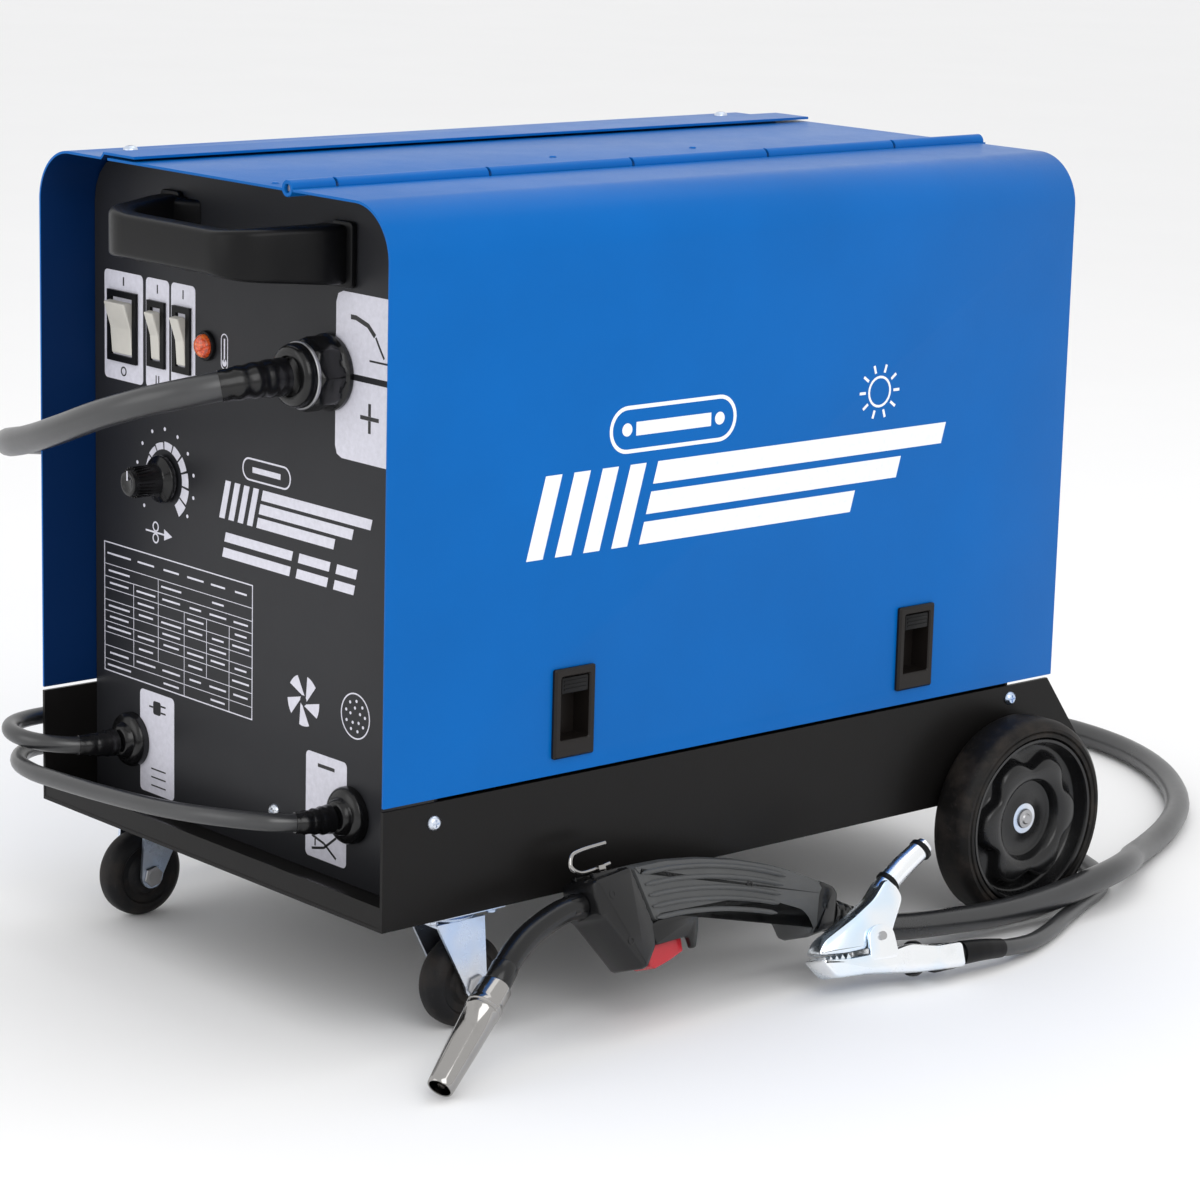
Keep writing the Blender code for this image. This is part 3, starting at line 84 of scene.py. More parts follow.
EARTH_ROUTE = (
    (0.088, 0.0228, 0.115), (0.088, 0.017, 0.115), (0.086, 0.004, 0.1155), (0.078, -0.012, 0.1165),
    (0.052, -0.027, 0.116), (0.010, -0.033, 0.112), (-0.040, -0.034, 0.108), (-0.090, -0.034, 0.105),
    (-0.124, -0.032, 0.103), (-0.149, -0.025, 0.102), (-0.169, -0.010, 0.101), (-0.182, 0.012, 0.099),
    (-0.190, 0.045, 0.093), (-0.195, 0.090, 0.082), (-0.199, 0.140, 0.066), (-0.203, 0.195, 0.047),
    (-0.207, 0.255, 0.0265), (-0.211, 0.320, 0.0110), (-0.214, 0.385, 0.0057), (-0.216, 0.450, 0.0055),
    (-0.217, 0.530, 0.0055), (-0.217, 0.600, 0.0055), (-0.2125, 0.662, 0.0055), (-0.194, 0.716, 0.0055),
    (-0.160, 0.746, 0.0055),
    (-0.120, 0.752, 0.0055), (-0.080, 0.733, 0.0055), (-0.035, 0.697, 0.0055), (0.016, 0.655, 0.0055),
    (0.062, 0.620, 0.0055), (0.105, 0.593, 0.0055), (0.142, 0.578, 0.0055), (0.170, 0.563, 0.0055),
    (0.189, 0.540, 0.0055), (0.201, 0.512, 0.0055), (0.214, 0.482, 0.0055), (0.228, 0.452, 0.0055),
    (0.238, 0.425, 0.0065), (0.243, 0.400, 0.0095), (0.2435, 0.378, 0.0125), (0.2415, 0.3578, 0.0134),
)
MAINS_ROUTE = (
    (-0.121, 0.0228, 0.113), (-0.121, 0.013, 0.1132), (-0.1245, -0.002, 0.114), (-0.134, -0.0145, 0.115),
    (-0.148, -0.0215, 0.116), (-0.164, -0.0205, 0.1165), (-0.178, -0.0115, 0.1165),
    (-0.1865, 0.005, 0.116),
    (-0.1895, 0.030, 0.115), (-0.1895, 0.070, 0.110), (-0.1895, 0.120, 0.098), (-0.191, 0.180, 0.077),
    (-0.1935, 0.240, 0.051), (-0.197, 0.300, 0.0260), (-0.200, 0.360, 0.0085), (-0.202, 0.430, 0.0055),
    (-0.2035, 0.510, 0.0055), (-0.2035, 0.555, 0.0055), (-0.2015, 0.585, 0.0055),
    (-0.1975, 0.613, 0.0055),
)
COIL_AT = Vector((-0.135, 0.650, 0.0))
COIL_INNER, COIL_EXIT, PLUG_Z = 0.047, 0.045, 0.0388


# ---------------------------------------------------------------- settings


class WelderSizes(bpy.types.PropertyGroup):
    """Sizes of the fine detail."""

    screw_radius: FloatProperty(name="Screw head", description="Radius of the side screws' heads",
                                default=0.0042, min=0.001, max=0.01, unit="LENGTH")
    rivet_radius: FloatProperty(name="Rivet head", description="Radius of the roof rivets' heads",
                                default=0.0024, min=0.001, max=0.01, unit="LENGTH")
    print_depth: FloatProperty(name="Print depth", description="Thickness of the printed marks",
                               default=0.00012, min=0.00002, max=0.001, unit="LENGTH")
    knob_ribs: IntProperty(name="Knob ribs", description="Number of ribs around the speed knob",
                           default=24, min=6, max=60)
    hub_lobes: IntProperty(name="Hub lobes", description="Number of lobes of a rear wheel's boss",
                           default=6, min=3, max=12)


class WelderColours(bpy.types.PropertyGroup):
    """Colours of the main finishes."""

    shell: FloatVectorProperty(name="Shell", description="Powder coat of the shell", subtype="COLOR",
                               size=3, min=0.0, max=1.0, default=(0.000, 0.116, 0.420))
    tray: FloatVectorProperty(name="Tray", description="Powder coat of the tray", subtype="COLOR",
                              size=3, min=0.0, max=1.0, default=(0.0065, 0.0060, 0.0058))
    panel: FloatVectorProperty(name="Panel", description="Paint of the front and rear panels",
                               subtype="COLOR",
                               size=3, min=0.0, max=1.0, default=(0.0200, 0.0205, 0.0235))
    marks: FloatVectorProperty(name="Marks", description="Printed marks", subtype="COLOR",
                               size=3, min=0.0, max=1.0, default=(0.720, 0.715, 0.800))
    lead: FloatVectorProperty(name="Leads", description="Sheath of the leads", subtype="COLOR",
                              size=3, min=0.0, max=1.0, default=(0.0150, 0.0155, 0.0170))


# ---------------------------------------------------------------- finishes


class Wire:
    """A socket of a node tree, so that sums on it are written as sums."""

    def __init__(self, tree, socket):
        self.tree = tree
        self.socket = socket

    def sum(self, operation, first, second=None):
        return self.tree.node("ShaderNodeMath", {"operation": operation}, {0: first, 1: second})

    def __add__(self, other):
        return self.sum("ADD", self, other)

    def __radd__(self, other):
        return self.sum("ADD", other, self)

    def __sub__(self, other):
        return self.sum("SUBTRACT", self, other)

    def __rsub__(self, other):
        return self.sum("SUBTRACT", other, self)

    def __mul__(self, other):
        return self.sum("MULTIPLY", self, other)

    def __rmul__(self, other):
        return self.sum("MULTIPLY", other, self)

    def __truediv__(self, other):
        return self.sum("DIVIDE", self, other)

class Tree:
    """A node tree that is written from top to bottom."""

    def __init__(self, tree):
        self.tree = tree

    def node(self, kind, settings=None, inputs=None, output=0):
        item = self.tree.nodes.new(kind)
        for key, value in (settings or {}).items():
            if key == "stops":
                self.ramp(item.color_ramp, value)
            else:
                setattr(item, key, value)
        for key, value in (inputs or {}).items():
            for single in value if isinstance(value, list) else [value]:
                if isinstance(single, Wire):
                    self.tree.links.new(single.socket, item.inputs[key])
                elif single is not None:
                    item.inputs[key].default_value = single
        return Wire(self, item.outputs[output])

    @staticmethod
    def ramp(ramp, stops):
        while len(ramp.elements) < len(stops):
            ramp.elements.new(0.5)
        for element, (position, value) in zip(ramp.elements, stops):
            element.position = position
            element.color = (value, value, value, 1.0)


class Finish(Tree):
    """A surface finish: noise, colour, roughness and relief on one shader."""

    def __init__(self, name):
        self.material = bpy.data.materials.new(name)
        self.material.use_nodes = True
        super().__init__(self.material.node_tree)
        self.shader = self.tree.nodes["Principled BSDF"]
        self.place = self.node("ShaderNodeTexCoord", output="Object")

    def stretched(self, scale):
        return self.node("ShaderNodeMapping", {}, {"Vector": self.place, "Scale": scale})

    def noise(self, scale, detail=3.0, rough=0.55, stretch=None):
        place = self.stretched(stretch) if stretch else self.place
        return self.node("ShaderNodeTexNoise", {},
                         {"Vector": place, "Scale": scale, "Detail": detail, "Roughness": rough})

    def step(self, value, low, high):
        return self.node("ShaderNodeMapRange", {"clamp": True},
                         {"Value": value, "From Min": low, "From Max": high})

    def blend(self, factor, first, second):
        first, second = [(*c, 1.0) if isinstance(c, (tuple, Vector)) else c for c in (first, second)]
        return self.node("ShaderNodeMix", {"data_type": "RGBA"}, {0: factor, 6: first, 7: second},
                         output=2)

    def relief(self, height, distance, strength=1.0):
        normal = self.node("ShaderNodeBump", {},
                           {"Height": height, "Distance": distance, "Strength": strength})
        self.tree.links.new(normal.socket, self.shader.inputs["Normal"])

    def shade(self, **values):
        for key, value in values.items():
            socket = self.shader.inputs[key.replace("_", " ").title().replace("Ior", "IOR")]
            if isinstance(value, Wire):
                self.tree.links.new(value.socket, socket)
            else:
                socket.default_value = (*value, 1.0) if isinstance(value, tuple) else value
        return self.material


def shade_of(colour, factor):
    return tuple(min(1.0, c * factor) for c in colour)


def powder_coat(name, colour, roughness=0.36, texture=0.00010, sheen=0.14):
    """Baked powder: a fine orange peel, with slight clouding and a little dust in the low places."""
    coat = Finish(name)
    peel = coat.noise(520.0, 3.0, 0.5)
    grit = coat.noise(2600.0, 2.0, 0.6)
    cloud = coat.noise(7.0, 4.0, 0.6)
    rub = coat.noise(38.0, 5.0, 0.65)
    base = coat.blend(coat.step(cloud, 0.3, 0.7), shade_of(colour, 0.94), shade_of(colour, 1.05))
    base = coat.blend(coat.step(grit, 0.66, 0.80) * 0.25, base, shade_of(colour, 1.35))
    coat.relief(peel * 0.7 + grit * 0.3, texture, 0.55)
    return coat.shade(base_color=base,
                      roughness=roughness - 0.04 + peel * 0.06 + coat.step(rub, 0.4, 0.8) * 0.06,
                      specular_ior_level=sheen)


def moulding(name, colour, roughness=0.45, texture=0.00008, scale=1800.0, sheen=0.16):
    """Moulded plastic or rubber: spark-eroded grain, with faint handling marks."""
    skin = Finish(name)
    grain = skin.noise(scale, 3.0, 0.65)
    patch = skin.noise(22.0, 4.0, 0.6)
    smear = skin.noise(60.0, 5.0, 0.6, (1.0, 3.2, 1.0))
    base = skin.blend(skin.step(patch, 0.25, 0.75), shade_of(colour, 0.86), shade_of(colour, 1.16))
    base = skin.blend(skin.step(grain, 0.62, 0.85) * 0.30, base, shade_of(colour, 1.7))
    skin.relief(grain, texture, 0.6)
    return skin.shade(base_color=base,
                      roughness=roughness - 0.05 + grain * 0.08 + skin.step(smear, 0.5, 0.8) * 0.08,
                      specular_ior_level=sheen)


def tyre_rubber(name, colour):
    """Solid rubber that has picked up dust, duller and browner where it rolls."""
    rubber = Finish(name)
    grain = rubber.noise(900.0, 4.0, 0.7)
    dust = rubber.noise(55.0, 6.0, 0.65)
    scuff = rubber.noise(180.0, 4.0, 0.7, (1.0, 1.0, 1.0))
    base = rubber.blend(rubber.step(dust, 0.45, 0.75), colour, (0.030, 0.024, 0.020))
    base = rubber.blend(rubber.step(scuff, 0.60, 0.85) * 0.5, base, (0.060, 0.055, 0.050))
    rubber.relief(grain * 0.7 + scuff * 0.3, 0.00018, 0.7)
    return rubber.shade(base_color=base, roughness=0.45 + rubber.step(dust, 0.3, 0.8) * 0.22,
                        specular_ior_level=0.18)


def sheath(name, colour):
    """The leads' sheath: smooth, with the stranding just showing and a thin film of dust."""
    skin = Finish(name)
    grain = skin.noise(1500.0, 2.0, 0.6)
    lay = skin.noise(120.0, 2.0, 0.4)
    dust = skin.noise(16.0, 6.0, 0.6)
    base = skin.blend(skin.step(dust, 0.42, 0.78) * 0.6, colour, shade_of(colour, 2.4))
    skin.relief(lay * 0.7 + grain * 0.3, 0.00020, 0.5)
    return skin.shade(base_color=base, roughness=0.24 + skin.step(dust, 0.3, 0.8) * 0.14 + grain * 0.04,
                      specular_ior_level=0.85)


def plated(name, colour, roughness, patch=0.08, relief=0.00004, blue=0.0):
    """Plated steel: bright, with fine scratches, clouded patches and a tint that drifts."""
    metal = Finish(name)
    scratch = metal.noise(420.0, 4.0, 0.7, (0.12, 1.0, 1.0))
    cloud = metal.noise(46.0, 4.0, 0.6)
    drift = metal.noise(24.0, 2.0, 0.5)
    tint = (colour[0] * (1 - blue), colour[1] * (1 - blue * 0.4), min(1.0, colour[2] * (1 + blue * 0.5)))
    base = metal.blend(metal.step(drift, 0.40, 0.62), colour, tint)
    base = metal.blend(metal.step(cloud, 0.55, 0.85) * 0.5, base, shade_of(colour, 0.72))
    metal.relief(scratch, relief, 0.4)
    return metal.shade(base_color=base, metallic=1.0,
                       roughness=roughness + metal.step(cloud, 0.3, 0.8) * patch + scratch * 0.05)


def wound_wire(name, colour, turns, axis):
    """Close turns of wire, as ridges across an axis, with painted shade in the gaps between the turns."""
    wire = Finish(name)
    stretch = [0.0, 0.0, 0.0]
    stretch[axis] = 1.0
    ridge = wire.node("ShaderNodeTexWave", {"bands_direction": "XYZ"[axis], "wave_profile": "SIN"},
                      {"Vector": wire.place, "Scale": turns, "Distortion": 0.4, "Detail": 1.0}, output=1)
    drift = wire.noise(90.0, 3.0, 0.6)
    # the gaps between turns are painted much darker: painted shade between the wires
    base = wire.blend(ridge, shade_of(colour, 0.30), colour)
    base = wire.blend(wire.step(drift, 0.5, 0.8) * 0.5, base, shade_of(colour, 0.6))
    wire.relief(ridge, 0.0004, 0.8)
    return wire.shade(base_color=base, metallic=0.85, roughness=0.30 + drift * 0.15)


def stacked_sheets(name):
    """Stamped core sheets: thin bright edges with dark varnish between them."""
    core = Finish(name)
    layer = core.node("ShaderNodeTexWave", {"bands_direction": "Y", "wave_profile": "SAW"},
                      {"Vector": core.place, "Scale": 260.0, "Distortion": 0.2}, output=1)
    drift = core.noise(60.0, 4.0, 0.6)
    base = core.blend(core.step(layer, 0.2, 0.9), (0.05, 0.045, 0.04), (0.30, 0.29, 0.28))
    base = core.blend(core.step(drift, 0.5, 0.8) * 0.6, base, (0.12, 0.07, 0.04))
    core.relief(layer, 0.0003, 0.6)
    return core.shade(base_color=base, metallic=0.8, roughness=0.42 + drift * 0.18)


def lens(name, colour):
    """A clear moulded lens, its ribbed inner face drawn as light and dark facets that are painted
    highlight and shade, with patches of painted glow.
    """
    glass = Finish(name)
    facet = glass.node("ShaderNodeTexVoronoi", {"feature": "F1"}, {"Vector": glass.place, "Scale": 700.0})
    painted_glow = glass.noise(240.0, 2.0, 0.5)
    # facets lighter and darker in turn: painted highlight and shade for the light the ribs catch; the
    # orange patches are painted glow
    base = glass.blend(glass.step(facet, 0.1, 0.8), shade_of(colour, 1.35), shade_of(colour, 0.55))
    base = glass.blend(glass.step(painted_glow, 0.45, 0.7) * 0.5, base, (0.95, 0.30, 0.06))
    glass.relief(facet, 0.00015, 0.5)
    return glass.shade(base_color=base, roughness=0.14 + painted_glow * 0.06, coat_weight=0.8,
                       coat_roughness=0.04)


def screen_print(name, colour):
    """Printed ink: slightly uneven cover, with pinholes."""
    ink = Finish(name)
    cover = ink.noise(300.0, 4.0, 0.6)
    pin = ink.noise(1900.0, 2.0, 0.5)
    base = ink.blend(ink.step(cover, 0.25, 0.75), shade_of(colour, 0.88), shade_of(colour, 1.04))
    base = ink.blend(ink.step(pin, 0.70, 0.82) * 0.3, base, shade_of(colour, 0.5))
    ink.relief(pin, 0.00003, 0.5)
    return ink.shade(base_color=base, roughness=0.38 + cover * 0.10)


def studio_floor(name):
    """Pale seamless paper with the faintest mottle."""
    paper = Finish(name)
    mottle = paper.noise(3.0, 4.0, 0.6)
    fibre = paper.noise(400.0, 3.0, 0.6)
    base = paper.blend(mottle, (0.90, 0.90, 0.905), (0.93, 0.93, 0.935))
    paper.relief(fibre, 0.0001, 0.1)
    return paper.shade(base_color=base, roughness=0.75 + fibre * 0.1)


COATS = {}


def mix_finishes(colours):
    """Every finish of the machine, by its own name."""
    COATS.update(
        shell=powder_coat("shell_blue_powder", tuple(colours.shell), 0.34, 0.00010, 0.12),
        # the inner faces of the cover and door: a much darker blue, painted shade for the inside of the
        # shell
        shell_inside=powder_coat("shell_inner_painted_shade", (0.000, 0.016, 0.075), 0.45, 0.00010, 0.10),
        tray=powder_coat("tray_black_powder", tuple(colours.tray), 0.36, 0.00012, 0.16),
        panel=powder_coat("panel_charcoal_paint", tuple(colours.panel), 0.40, 0.00006, 0.22),
        marks=screen_print("pale_print", tuple(colours.marks)),
        dark_marks=screen_print("dark_print", (0.012, 0.012, 0.014)),
        door_marks=screen_print("white_print", (0.88, 0.90, 0.93)),
        plastic=moulding("black_moulding", (0.0050, 0.0050, 0.0055), 0.34),
        gloss=moulding("glossy_black_moulding", (0.0050, 0.0050, 0.0055), 0.22, 0.00003, sheen=0.40),
        grip=moulding("dark_grey_grip", (0.070, 0.072, 0.073), 0.40, 0.00012, 1300.0, 0.30),
        ivory=moulding("ivory_rocker", (0.62, 0.60, 0.55), 0.30, 0.00002, sheen=0.5),
        red=moulding("red_trigger", (0.42, 0.012, 0.022), 0.26, 0.00003, sheen=0.5),
        dark_red=moulding("brown_latch", (0.010, 0.008, 0.007), 0.36, sheen=0.22),
        lens=lens("amber_lens", (0.75, 0.075, 0.010)),
        lead=sheath("lead_sheath", tuple(colours.lead)),
        tyre=tyre_rubber("tyre_rubber", (0.0055, 0.0050, 0.0048)),
        caster_tyre=tyre_rubber("caster_rubber", (0.009, 0.009, 0.010)),
        hub=moulding("black_hub", (0.0055, 0.0055, 0.0060), 0.25, 0.00005, sheen=0.45),
        zinc=plated("bright_zinc", (0.70, 0.73, 0.78), 0.20, 0.14, blue=0.22),
        clamp_zinc=plated("clamp_zinc", (0.92, 0.94, 0.96), 0.16, 0.16, blue=0.25),
        chrome=plated("chrome", (0.36, 0.35, 0.34), 0.07, 0.05, 0.00001),
        steel=plated("turned_steel", (0.42, 0.42, 0.43), 0.30, 0.12),
        brass=plated("gas_brass", (0.62, 0.48, 0.22), 0.24, 0.12),
        copper=wound_wire("copper_winding", (0.75, 0.33, 0.16), 300.0, 2),
        filler=wound_wire("filler_wire", (0.66, 0.36, 0.20), 330.0, 0),
        core=stacked_sheets("core_sheets"),
    )


# ---------------------------------------------------------------- mesh code


def facing(x, y, z, way):
    """A frame on a surface, from the machine's datum: across, up and out of a face."""
    across = {"front": (1, 0, 0), "right": (0, 1, 0), "left": (0, -1, 0), "rear": (-1, 0, 0),
              "top": (1, 0, 0)}[way]
    up = (0, 1, 0) if way == "top" else (0, 0, 1)
    out = Vector(across).cross(Vector(up))
    turn = Matrix((across, up, tuple(out))).transposed().to_4x4()
    return Matrix.Translation(DATUM + Vector((x, y, z))) @ turn


def along(at, direction):
    """A frame whose Z runs along a direction."""
    return Matrix.Translation(at) @ Vector(direction).to_track_quat("Z", "Y").to_matrix().to_4x4()


def arc(centre, radius, start, end, steps):
    angles = [math.radians(start + (end - start) * n / steps) for n in range(steps + 1)]
    return [(centre[0] + radius * math.cos(a), centre[1] + radius * math.sin(a)) for a in angles]


def rectangle(x0, y0, x1, y1, radius=0.0, steps=5):
    """An outline, anticlockwise, with its corners rounded."""
    if radius <= 0:
        return [(x0, y0), (x1, y0), (x1, y1), (x0, y1)]
    r = radius
    corners = (((x1 - r, y0 + r), -90), ((x1 - r, y1 - r), 0), ((x0 + r, y1 - r), 90),
               ((x0 + r, y0 + r), 180))
    return [p for centre, start in corners for p in arc(centre, r, start, start + 90, steps)]


def softened(points, radius, steps=4):
    """A polygon with every corner rounded, as far as its sides allow."""
    outline = []
    for index, point in enumerate(points):
        here = Vector(point)
        before = Vector(points[index - 1])
        after = Vector(points[(index + 1) % len(points)])
        back, on = (before - here), (after - here)
        reach = min(radius, back.length * 0.45, on.length * 0.45)
        first, last = here + back.normalized() * reach, here + on.normalized() * reach
        for n in range(steps + 1):
            t = n / steps
            outline.append(tuple(first.lerp(here, t).lerp(here.lerp(last, t), t)))
    return outline


def offset(outline, distance):
    """The same outline, moved inwards by a distance if it runs anticlockwise."""
    moved = []
    for index, point in enumerate(outline):
        here = Vector(point)
        before = Vector(outline[index - 1])
        after = Vector(outline[(index + 1) % len(outline)])
        first, second = (here - before), (after - here)
        if first.length < 1e-9 or second.length < 1e-9:
            moved.append(tuple(here))
            continue
        first, second = first.normalized(), second.normalized()
        middle = Vector((-first.y - second.y, first.x + second.x))
        if middle.length < 1e-6:
            moved.append(tuple(here))
            continue
        middle.normalize()
        lean = max(0.35, middle.dot(Vector((-first.y, first.x))))
        moved.append(tuple(here + middle * distance / lean))
    return moved


def area(outline):
    return 0.5 * sum(a[0] * b[1] - b[0] * a[1] for a, b in zip(outline, [*outline[1:], outline[0]]))


class Shape:
    """The mesh code of one piece."""

    def __init__(self):
        self.mesh = bmesh.new()

    def skin(self, rings, wrap=False, ends=True, material=0):
        """A surface through rings of points. A ring of one point is a pole."""
        rows = [[self.mesh.verts.new(p) for p in ring] for ring in rings]
        faces = []
        for first, second in zip(rows, [*rows[1:], rows[0]] if wrap else rows[1:]):
            count = max(len(first), len(second))
            for n in range(count):
                m = (n + 1) % count
                quad = [first[n % len(first)], first[m % len(first)], second[m % len(second)],
                        second[n % len(second)]]
                loop = [v for k, v in enumerate(quad) if v not in quad[:k]]
                if len(loop) > 2:
                    faces.append(self.mesh.faces.new(loop))
        if ends and not wrap:
            for row in (rows[0], rows[-1]):
                if len(row) > 2:
                    faces.append(self.mesh.faces.new(row))
        for face in faces:
            face.material_index = material
        return self

    def prism(self, outline, low, high, place, edge=0.0, material=0):
        """An outline, thick along its frame's Z, with its rims bevelled by an edge."""
        if area(outline) < 0:
            outline = outline[::-1]
        levels = [(low, 0.0), (high, 0.0)]
        if edge > 0:
            levels = [(low, edge), (low + edge * 0.3, edge * 0.3), (low + edge, 0.0),
                      (high - edge, 0.0), (high - edge * 0.3, edge * 0.3), (high, edge)]
        rings = [[place @ Vector((x, y, z)) for x, y in offset(outline, inset)] for z, inset in levels]
        return self.skin(rings, material=material)

    def box(self, low, high, place, edge=0.0, material=0):
        outline = rectangle(low[0], low[1], high[0], high[1])
        return self.prism(outline, low[2], high[2], place, edge, material)

    def turned(self, profile, place, steps=48, closed=False, material=0):
        """A turned solid: radius and height points, about its frame's Z."""
        rings = []
        for radius, height in profile:
            if radius <= 1e-9:
                rings.append([place @ Vector((0, 0, height))])
                continue
            rings.append([place @ Vector((radius * math.cos(a), radius * math.sin(a), height))
                          for a in (math.tau * n / steps for n in range(steps))])
        return self.skin(rings, wrap=closed, material=material)

    def tube(self, points, radii, sides=16, material=0):
        """A round rod along points, with a radius for each."""
        points = [Vector(p) for p in points]
        if not isinstance(radii, (list, tuple)):
            radii = [radii] * len(points)
        ways = [(b - a).normalized() for a, b in zip(points, points[1:])]
        ways = [ways[0], *[(a + b).normalized() for a, b in zip(ways, ways[1:])], ways[-1]]
        side = ways[0].orthogonal().normalized()
        rings = []
        for point, way, radius in zip(points, ways, radii):
            side = (side - way * side.dot(way)).normalized()
            other = way.cross(side)
            rings.append([point + (side * math.cos(a) + other * math.sin(a)) * radius
                          for a in (math.tau * n / sides for n in range(sides))])
        return self.skin(rings, material=material)

    def stroke(self, points, width, depth, place, closed=False, material=0):
        """A printed line of one width along points."""
        points = [Vector(p) for p in points]
        count = len(points)
        if closed:
            rings = []
            outline = [tuple(p) for p in points]
            if area(outline) < 0:
                outline = outline[::-1]
            loops = [(offset(outline, s * width / 2), z) for s,
                     z in ((-1, depth[0]), (-1, depth[1]), (1, depth[1]),
                                                                      (1, depth[0]))]
            rings = [[place @ Vector((x, y, z)) for x, y in loop] for loop, z in loops]
            return self.skin(rings, wrap=True, material=material)
        left, right = [], []
        for n, point in enumerate(points):
            before, after = points[max(0, n - 1)], points[min(count - 1, n + 1)]
            way = (after - before).normalized() * width / 2
            left.append((point.x - way.y, point.y + way.x))
            right.append((point.x + way.y, point.y - way.x))
        return self.prism([*right, *left[::-1]], depth[0], depth[1], place, material=material)

    def piece(self, name, coats, body, slot, replaces=(), crease=38.0):
        """The finished object: at the origin, with its normals outwards and its creases kept."""
        bmesh.ops.recalc_face_normals(self.mesh, faces=self.mesh.faces)
        mesh = bpy.data.meshes.new(name)
        self.mesh.to_mesh(mesh)
        self.mesh.free()
        return settle(name, mesh, coats, body, replaces, crease)


def settle(name, mesh, coats, body, replaces=(), crease=38.0):
    mesh.polygons.foreach_set("use_smooth", [True] * len(mesh.polygons))
    mesh.set_sharp_from_angle(angle=math.radians(crease))
    if coats:
        kept = [face.material_index for face in mesh.polygons]
        mesh.materials.clear()
        for coat in coats:
            mesh.materials.append(COATS[coat])
        mesh.polygons.foreach_set("material_index", kept)
    item = bpy.data.objects.new(name, mesh)
    bpy.context.scene.collection.objects.link(item)
    if body:
        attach(item, body)
    if replaces:
        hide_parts(*replaces)
    return item


def evaluated_mesh(item):
    bpy.context.view_layer.update()
    graph = bpy.context.evaluated_depsgraph_get()
    return bpy.data.meshes.new_from_object(item.evaluated_get(graph), preserve_all_data_layers=True,
                                           depsgraph=graph)


def wear(coat, *names):
    """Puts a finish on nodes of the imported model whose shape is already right."""
    for name in names:
        node = NODES[name]
        if not node.data.materials:
            node.data.materials.append(COATS[coat])
        for slot in node.material_slots:
            slot.material = COATS[coat]


def repeated(name, tree, inputs, points, coat, body):
    """A repeated detail: its tree runs once on the points, and the result is kept as a plain mesh."""
    mesh = bpy.data.meshes.new(name)
    mesh.from_pydata([tuple(at) for at, _ in points], [], [])
    ways = mesh.attributes.new("way", "FLOAT_VECTOR", "POINT")
    ways.data.foreach_set("vector", [c for _, way in points for c in way])
    source = bpy.data.objects.new(name + "_points", mesh)
    bpy.context.scene.collection.objects.link(source)
    step = source.modifiers.new("repeat", "NODES")
    step.node_group = tree
    for socket in tree.interface.items_tree:
        if socket.in_out == "INPUT" and socket.name in inputs:
            step[socket.identifier] = inputs[socket.name]
    result = evaluated_mesh(source)
    bpy.data.objects.remove(source, do_unlink=True)
    if not result.polygons:
        raise RuntimeError(f"{name} came out empty")
    return settle(name, result, [coat], body)


def repeat_tree(name, floats, make):
    """A geometry tree that stands one made shape on every point, turned to the point's way."""
    group = bpy.data.node_groups.new(name, "GeometryNodeTree")
    group.is_modifier = True
    group.interface.new_socket("Geometry", in_out="INPUT", socket_type="NodeSocketGeometry")
    for label in floats:
        group.interface.new_socket(label, in_out="INPUT", socket_type="NodeSocketFloat")
    group.interface.new_socket("Seed", in_out="INPUT", socket_type="NodeSocketInt")
    group.interface.new_socket("Geometry", in_out="OUTPUT", socket_type="NodeSocketGeometry")
    tree = Tree(group)
    entry = group.nodes.new("NodeGroupInput")
    values = {label: Wire(tree, entry.outputs[label]) for label in floats}
    shape = make(tree, values)
    way = tree.node("GeometryNodeInputNamedAttribute", {"data_type": "FLOAT_VECTOR"}, {"Name": "way"})
    turn = tree.node("FunctionNodeAlignRotationToVector", {"axis": "Z"}, {"Vector": way})
    stood = tree.node("GeometryNodeInstanceOnPoints", {},
                      {"Points": Wire(tree, entry.outputs["Geometry"]), "Instance": shape,
                       "Rotation": turn})
    real = tree.node("GeometryNodeRealizeInstances", {}, {"Geometry": stood})
    painted = tree.node("GeometryNodeSetMaterial", {}, {"Geometry": real, "Material": COATS["steel"]})
    group.links.new(painted.socket, group.nodes.new("NodeGroupOutput").inputs["Geometry"])
    return group


def pan_head(tree, values):
    """A domed head with a cross recess."""
    radius, height = values["Radius"], values["Height"]
    skirt = tree.node("GeometryNodeMeshCone", {},
                      {"Vertices": 28, "Side Segments": 1, "Radius Top": radius * 0.92,
                                                   "Radius Bottom": radius, "Depth": height * 0.55})
    crown = tree.node("GeometryNodeMeshCone", {},
                      {"Vertices": 28, "Side Segments": 1, "Radius Top": radius * 0.62,
                                                   "Radius Bottom": radius * 0.92,
                                                   "Depth": height * 0.45})
    lift = tree.node("ShaderNodeCombineXYZ", {}, {"Z": height * 0.55})
    crown = tree.node("GeometryNodeTransform", {}, {"Geometry": crown, "Translation": lift})
    both = tree.node("GeometryNodeMeshBoolean", {"operation": "UNION", "solver": "EXACT"},
                     {"Mesh 2": [skirt, crown]})
    bars = []
    for wide, narrow in (("X", "Y"), ("Y", "X")):
        size = tree.node("ShaderNodeCombineXYZ", {},
                         {wide: radius * 1.05, narrow: radius * 0.24, "Z": height * 0.9})
        bar = tree.node("GeometryNodeMeshCube", {}, {"Size": size})
        top = tree.node("ShaderNodeCombineXYZ", {}, {"Z": height})
        bars.append(tree.node("GeometryNodeTransform", {}, {"Geometry": bar, "Translation": top}))
    return tree.node("GeometryNodeMeshBoolean", {"operation": "DIFFERENCE", "solver": "EXACT"},
                     {"Mesh 1": both, "Mesh 2": bars})


def low_dome(tree, values):
    """A rivet's low head, or a printed dot."""
    radius, height = values["Radius"], values["Height"]
    return tree.node("GeometryNodeMeshCone", {},
                     {"Vertices": 16, "Side Segments": 1, "Radius Top": radius * 0.6,
                                                  "Radius Bottom": radius, "Depth": height})


